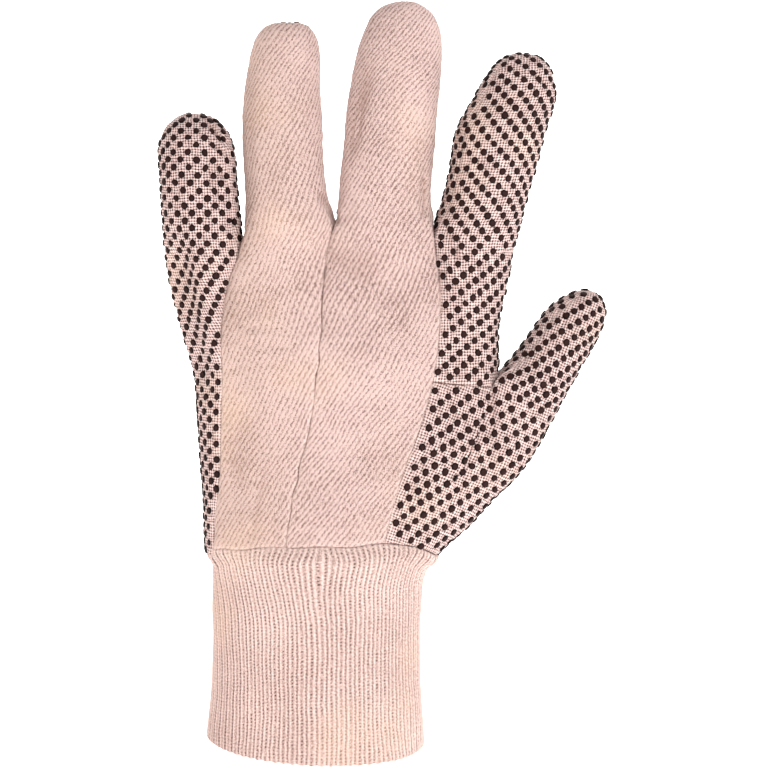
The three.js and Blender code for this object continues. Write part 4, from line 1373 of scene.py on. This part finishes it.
drill, canvas, knit, pvc = drill_paint(), canvas_paint(), knit_paint(), dot_paint()
hand_grids = ("lower", "upper")
cloth_pieces = {
    "ring_back_drill": ("back_ring", hand_grids + ("ring",), drill, "drill"),
    "middle_back_drill": ("back_middle", hand_grids + ("middle",), drill, "drill"),
    "thumb_canvas": ("thumb", ("lower", "thumb"), canvas, "dotted_canvas"),
    "palm_canvas": ("palm", hand_grids + ("little", "ring", "middle", "index"), canvas, "dotted_canvas"),
}
for name, (node, names, paint, slot) in cloth_pieces.items():
    dress(cloth_piece(name, picked_patches(node, *names)), paint, slot, node)
dress(make_cuff(), knit, "rib_knit", "cuff")

dot_groups = {
    "palm_dots": ("palm", hand_grids, PALM_LATTICE, "rest", DOT_RADIUS),
    "index_base_dots": ("palm", hand_grids, INDEX_BASE_LATTICE, "index", DOT_RADIUS),
    "little_dots": ("palm", ("little",), PALM_LATTICE, "all", DOT_RADIUS),
    "ring_dots": ("palm", ("ring",), PALM_LATTICE, "all", DOT_RADIUS),
    "middle_dots": ("palm", ("middle",), PALM_LATTICE, "all", DOT_RADIUS),
    "index_dots": ("palm", ("index",), INDEX_LATTICE, "all", DOT_RADIUS),
    "wing_dots": ("thumb", ("lower",), WING_LATTICE, "all", THUMB_DOT_RADIUS),
    "thumb_dots": ("thumb", ("thumb",), THUMB_LATTICE, "all", THUMB_DOT_RADIUS),
}
dots_so_far = []
for seed, (name, (node, names, lattice, area, size)) in enumerate(dot_groups.items()):
    dots = make_dots(name, *dot_places(node, names, lattice, area), size, seed)
    dress(dots, pvc, "dotted_canvas", node)

tip_places = np.array([[-11.2, 9.3, 250.6], [-6.7, 9.5, 250.5]])
upward, sideways = unit(np.array([[0.0, 0.35, 1.0]] * 2)), np.array([[1.0, 0.0, 0.0]] * 2)
tip_dots = make_dots("ring_tip_dots", tip_places, upward, sideways, DOT_RADIUS, len(dot_groups) + 1)
dress(tip_dots, pvc, "dotted_canvas", "palm")


# Floor, light and camera

def make_floor():
    """A wide flat floor under the rim that rises on every side in a quarter circle, behind into a wall."""
    turn = np.linspace(0, pi / 2, 24)
    bend = 1.5
    out, up = bend * np.sin(turn), bend - bend * np.cos(turn)
    side = np.concatenate([-4.5 - out[::-1], 4.5 + out])
    side_height = np.concatenate([up[::-1], up])
    along = np.concatenate([-4.0 - out[::-1], 3 + out, [4.5]])
    height = np.concatenate([up[::-1], up, [6.0]])
    x, y = np.meshgrid(side, along)
    z = np.maximum(side_height, height[:, None]) - 0.0015
    numbers = np.arange(x.size).reshape(x.shape)
    at = np.stack([x, y, z], axis=-1).reshape(-1, 3) / MM - [0.0, 0.0, LIFT]
    floor = make_piece("pale_floor", at, face_corners(numbers))
    floor.data.materials.append(floor_paint())
    floor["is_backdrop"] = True


def make_light(name, place, target, size, power, tint=(1.0, 1.0, 1.0)):
    """A square soft light at a place, turned to a target."""
    lamp = bpy.data.lights.new(name, "AREA")
    lamp.size = size
    lamp.energy = power
    lamp.color = tint
    holder = bpy.data.objects.new(name, lamp)
    away = np.array(place) - np.array(target)
    holder.location = place
    level = float(np.hypot(away[0], away[1]))
    holder.rotation_euler = (pi / 2 - np.arctan2(away[2], level), 0.0, float(np.arctan2(away[0], -away[1])))
    bpy.context.scene.collection.objects.link(holder)


make_floor()
glove_middle = (0.02, 0.0, 0.12)
make_light("front_light", (0.8, -1.2, 0.6), glove_middle, 0.9, 12.0)
make_light("left_light", (-1.3, -0.5, 0.5), glove_middle, 0.9, 2.6, (1.0, 0.86, 0.7))
make_light("top_light", (0.3, 0.2, 1.6), glove_middle, 1.4, 7.6)
make_light("wall_light", (0.0, 1.5, 3.0), (0.0, 4.5, 1.2), 2.5, 90.0)

scene = bpy.context.scene
world = bpy.data.worlds.new("pale_studio")
world.use_nodes = True
sky = world.node_tree.nodes["Background"].inputs
sky["Color"].default_value = (1.0, 1.0, 1.0, 1.0)
sky["Strength"].default_value = 0.3
scene.world = world
scene.view_settings.view_transform = "Standard"

camera = bpy.data.objects.new("camera", bpy.data.cameras.new("camera"))
camera.data.lens = 121.2
camera.data.sensor_width = 36.0
camera.data.clip_start = 0.05
camera.data.clip_end = 50.0
tilt, distance = radians(5), 0.9
camera.location = (0.0237, -distance * cos(tilt), 0.1293 + distance * sin(tilt))
camera.rotation_euler = (pi / 2 - tilt, 0.0, 0.0)
scene.collection.objects.link(camera)
scene.camera = camera

[[list(map(float, corner)) for corner in box] for box in (cad_box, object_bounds())]
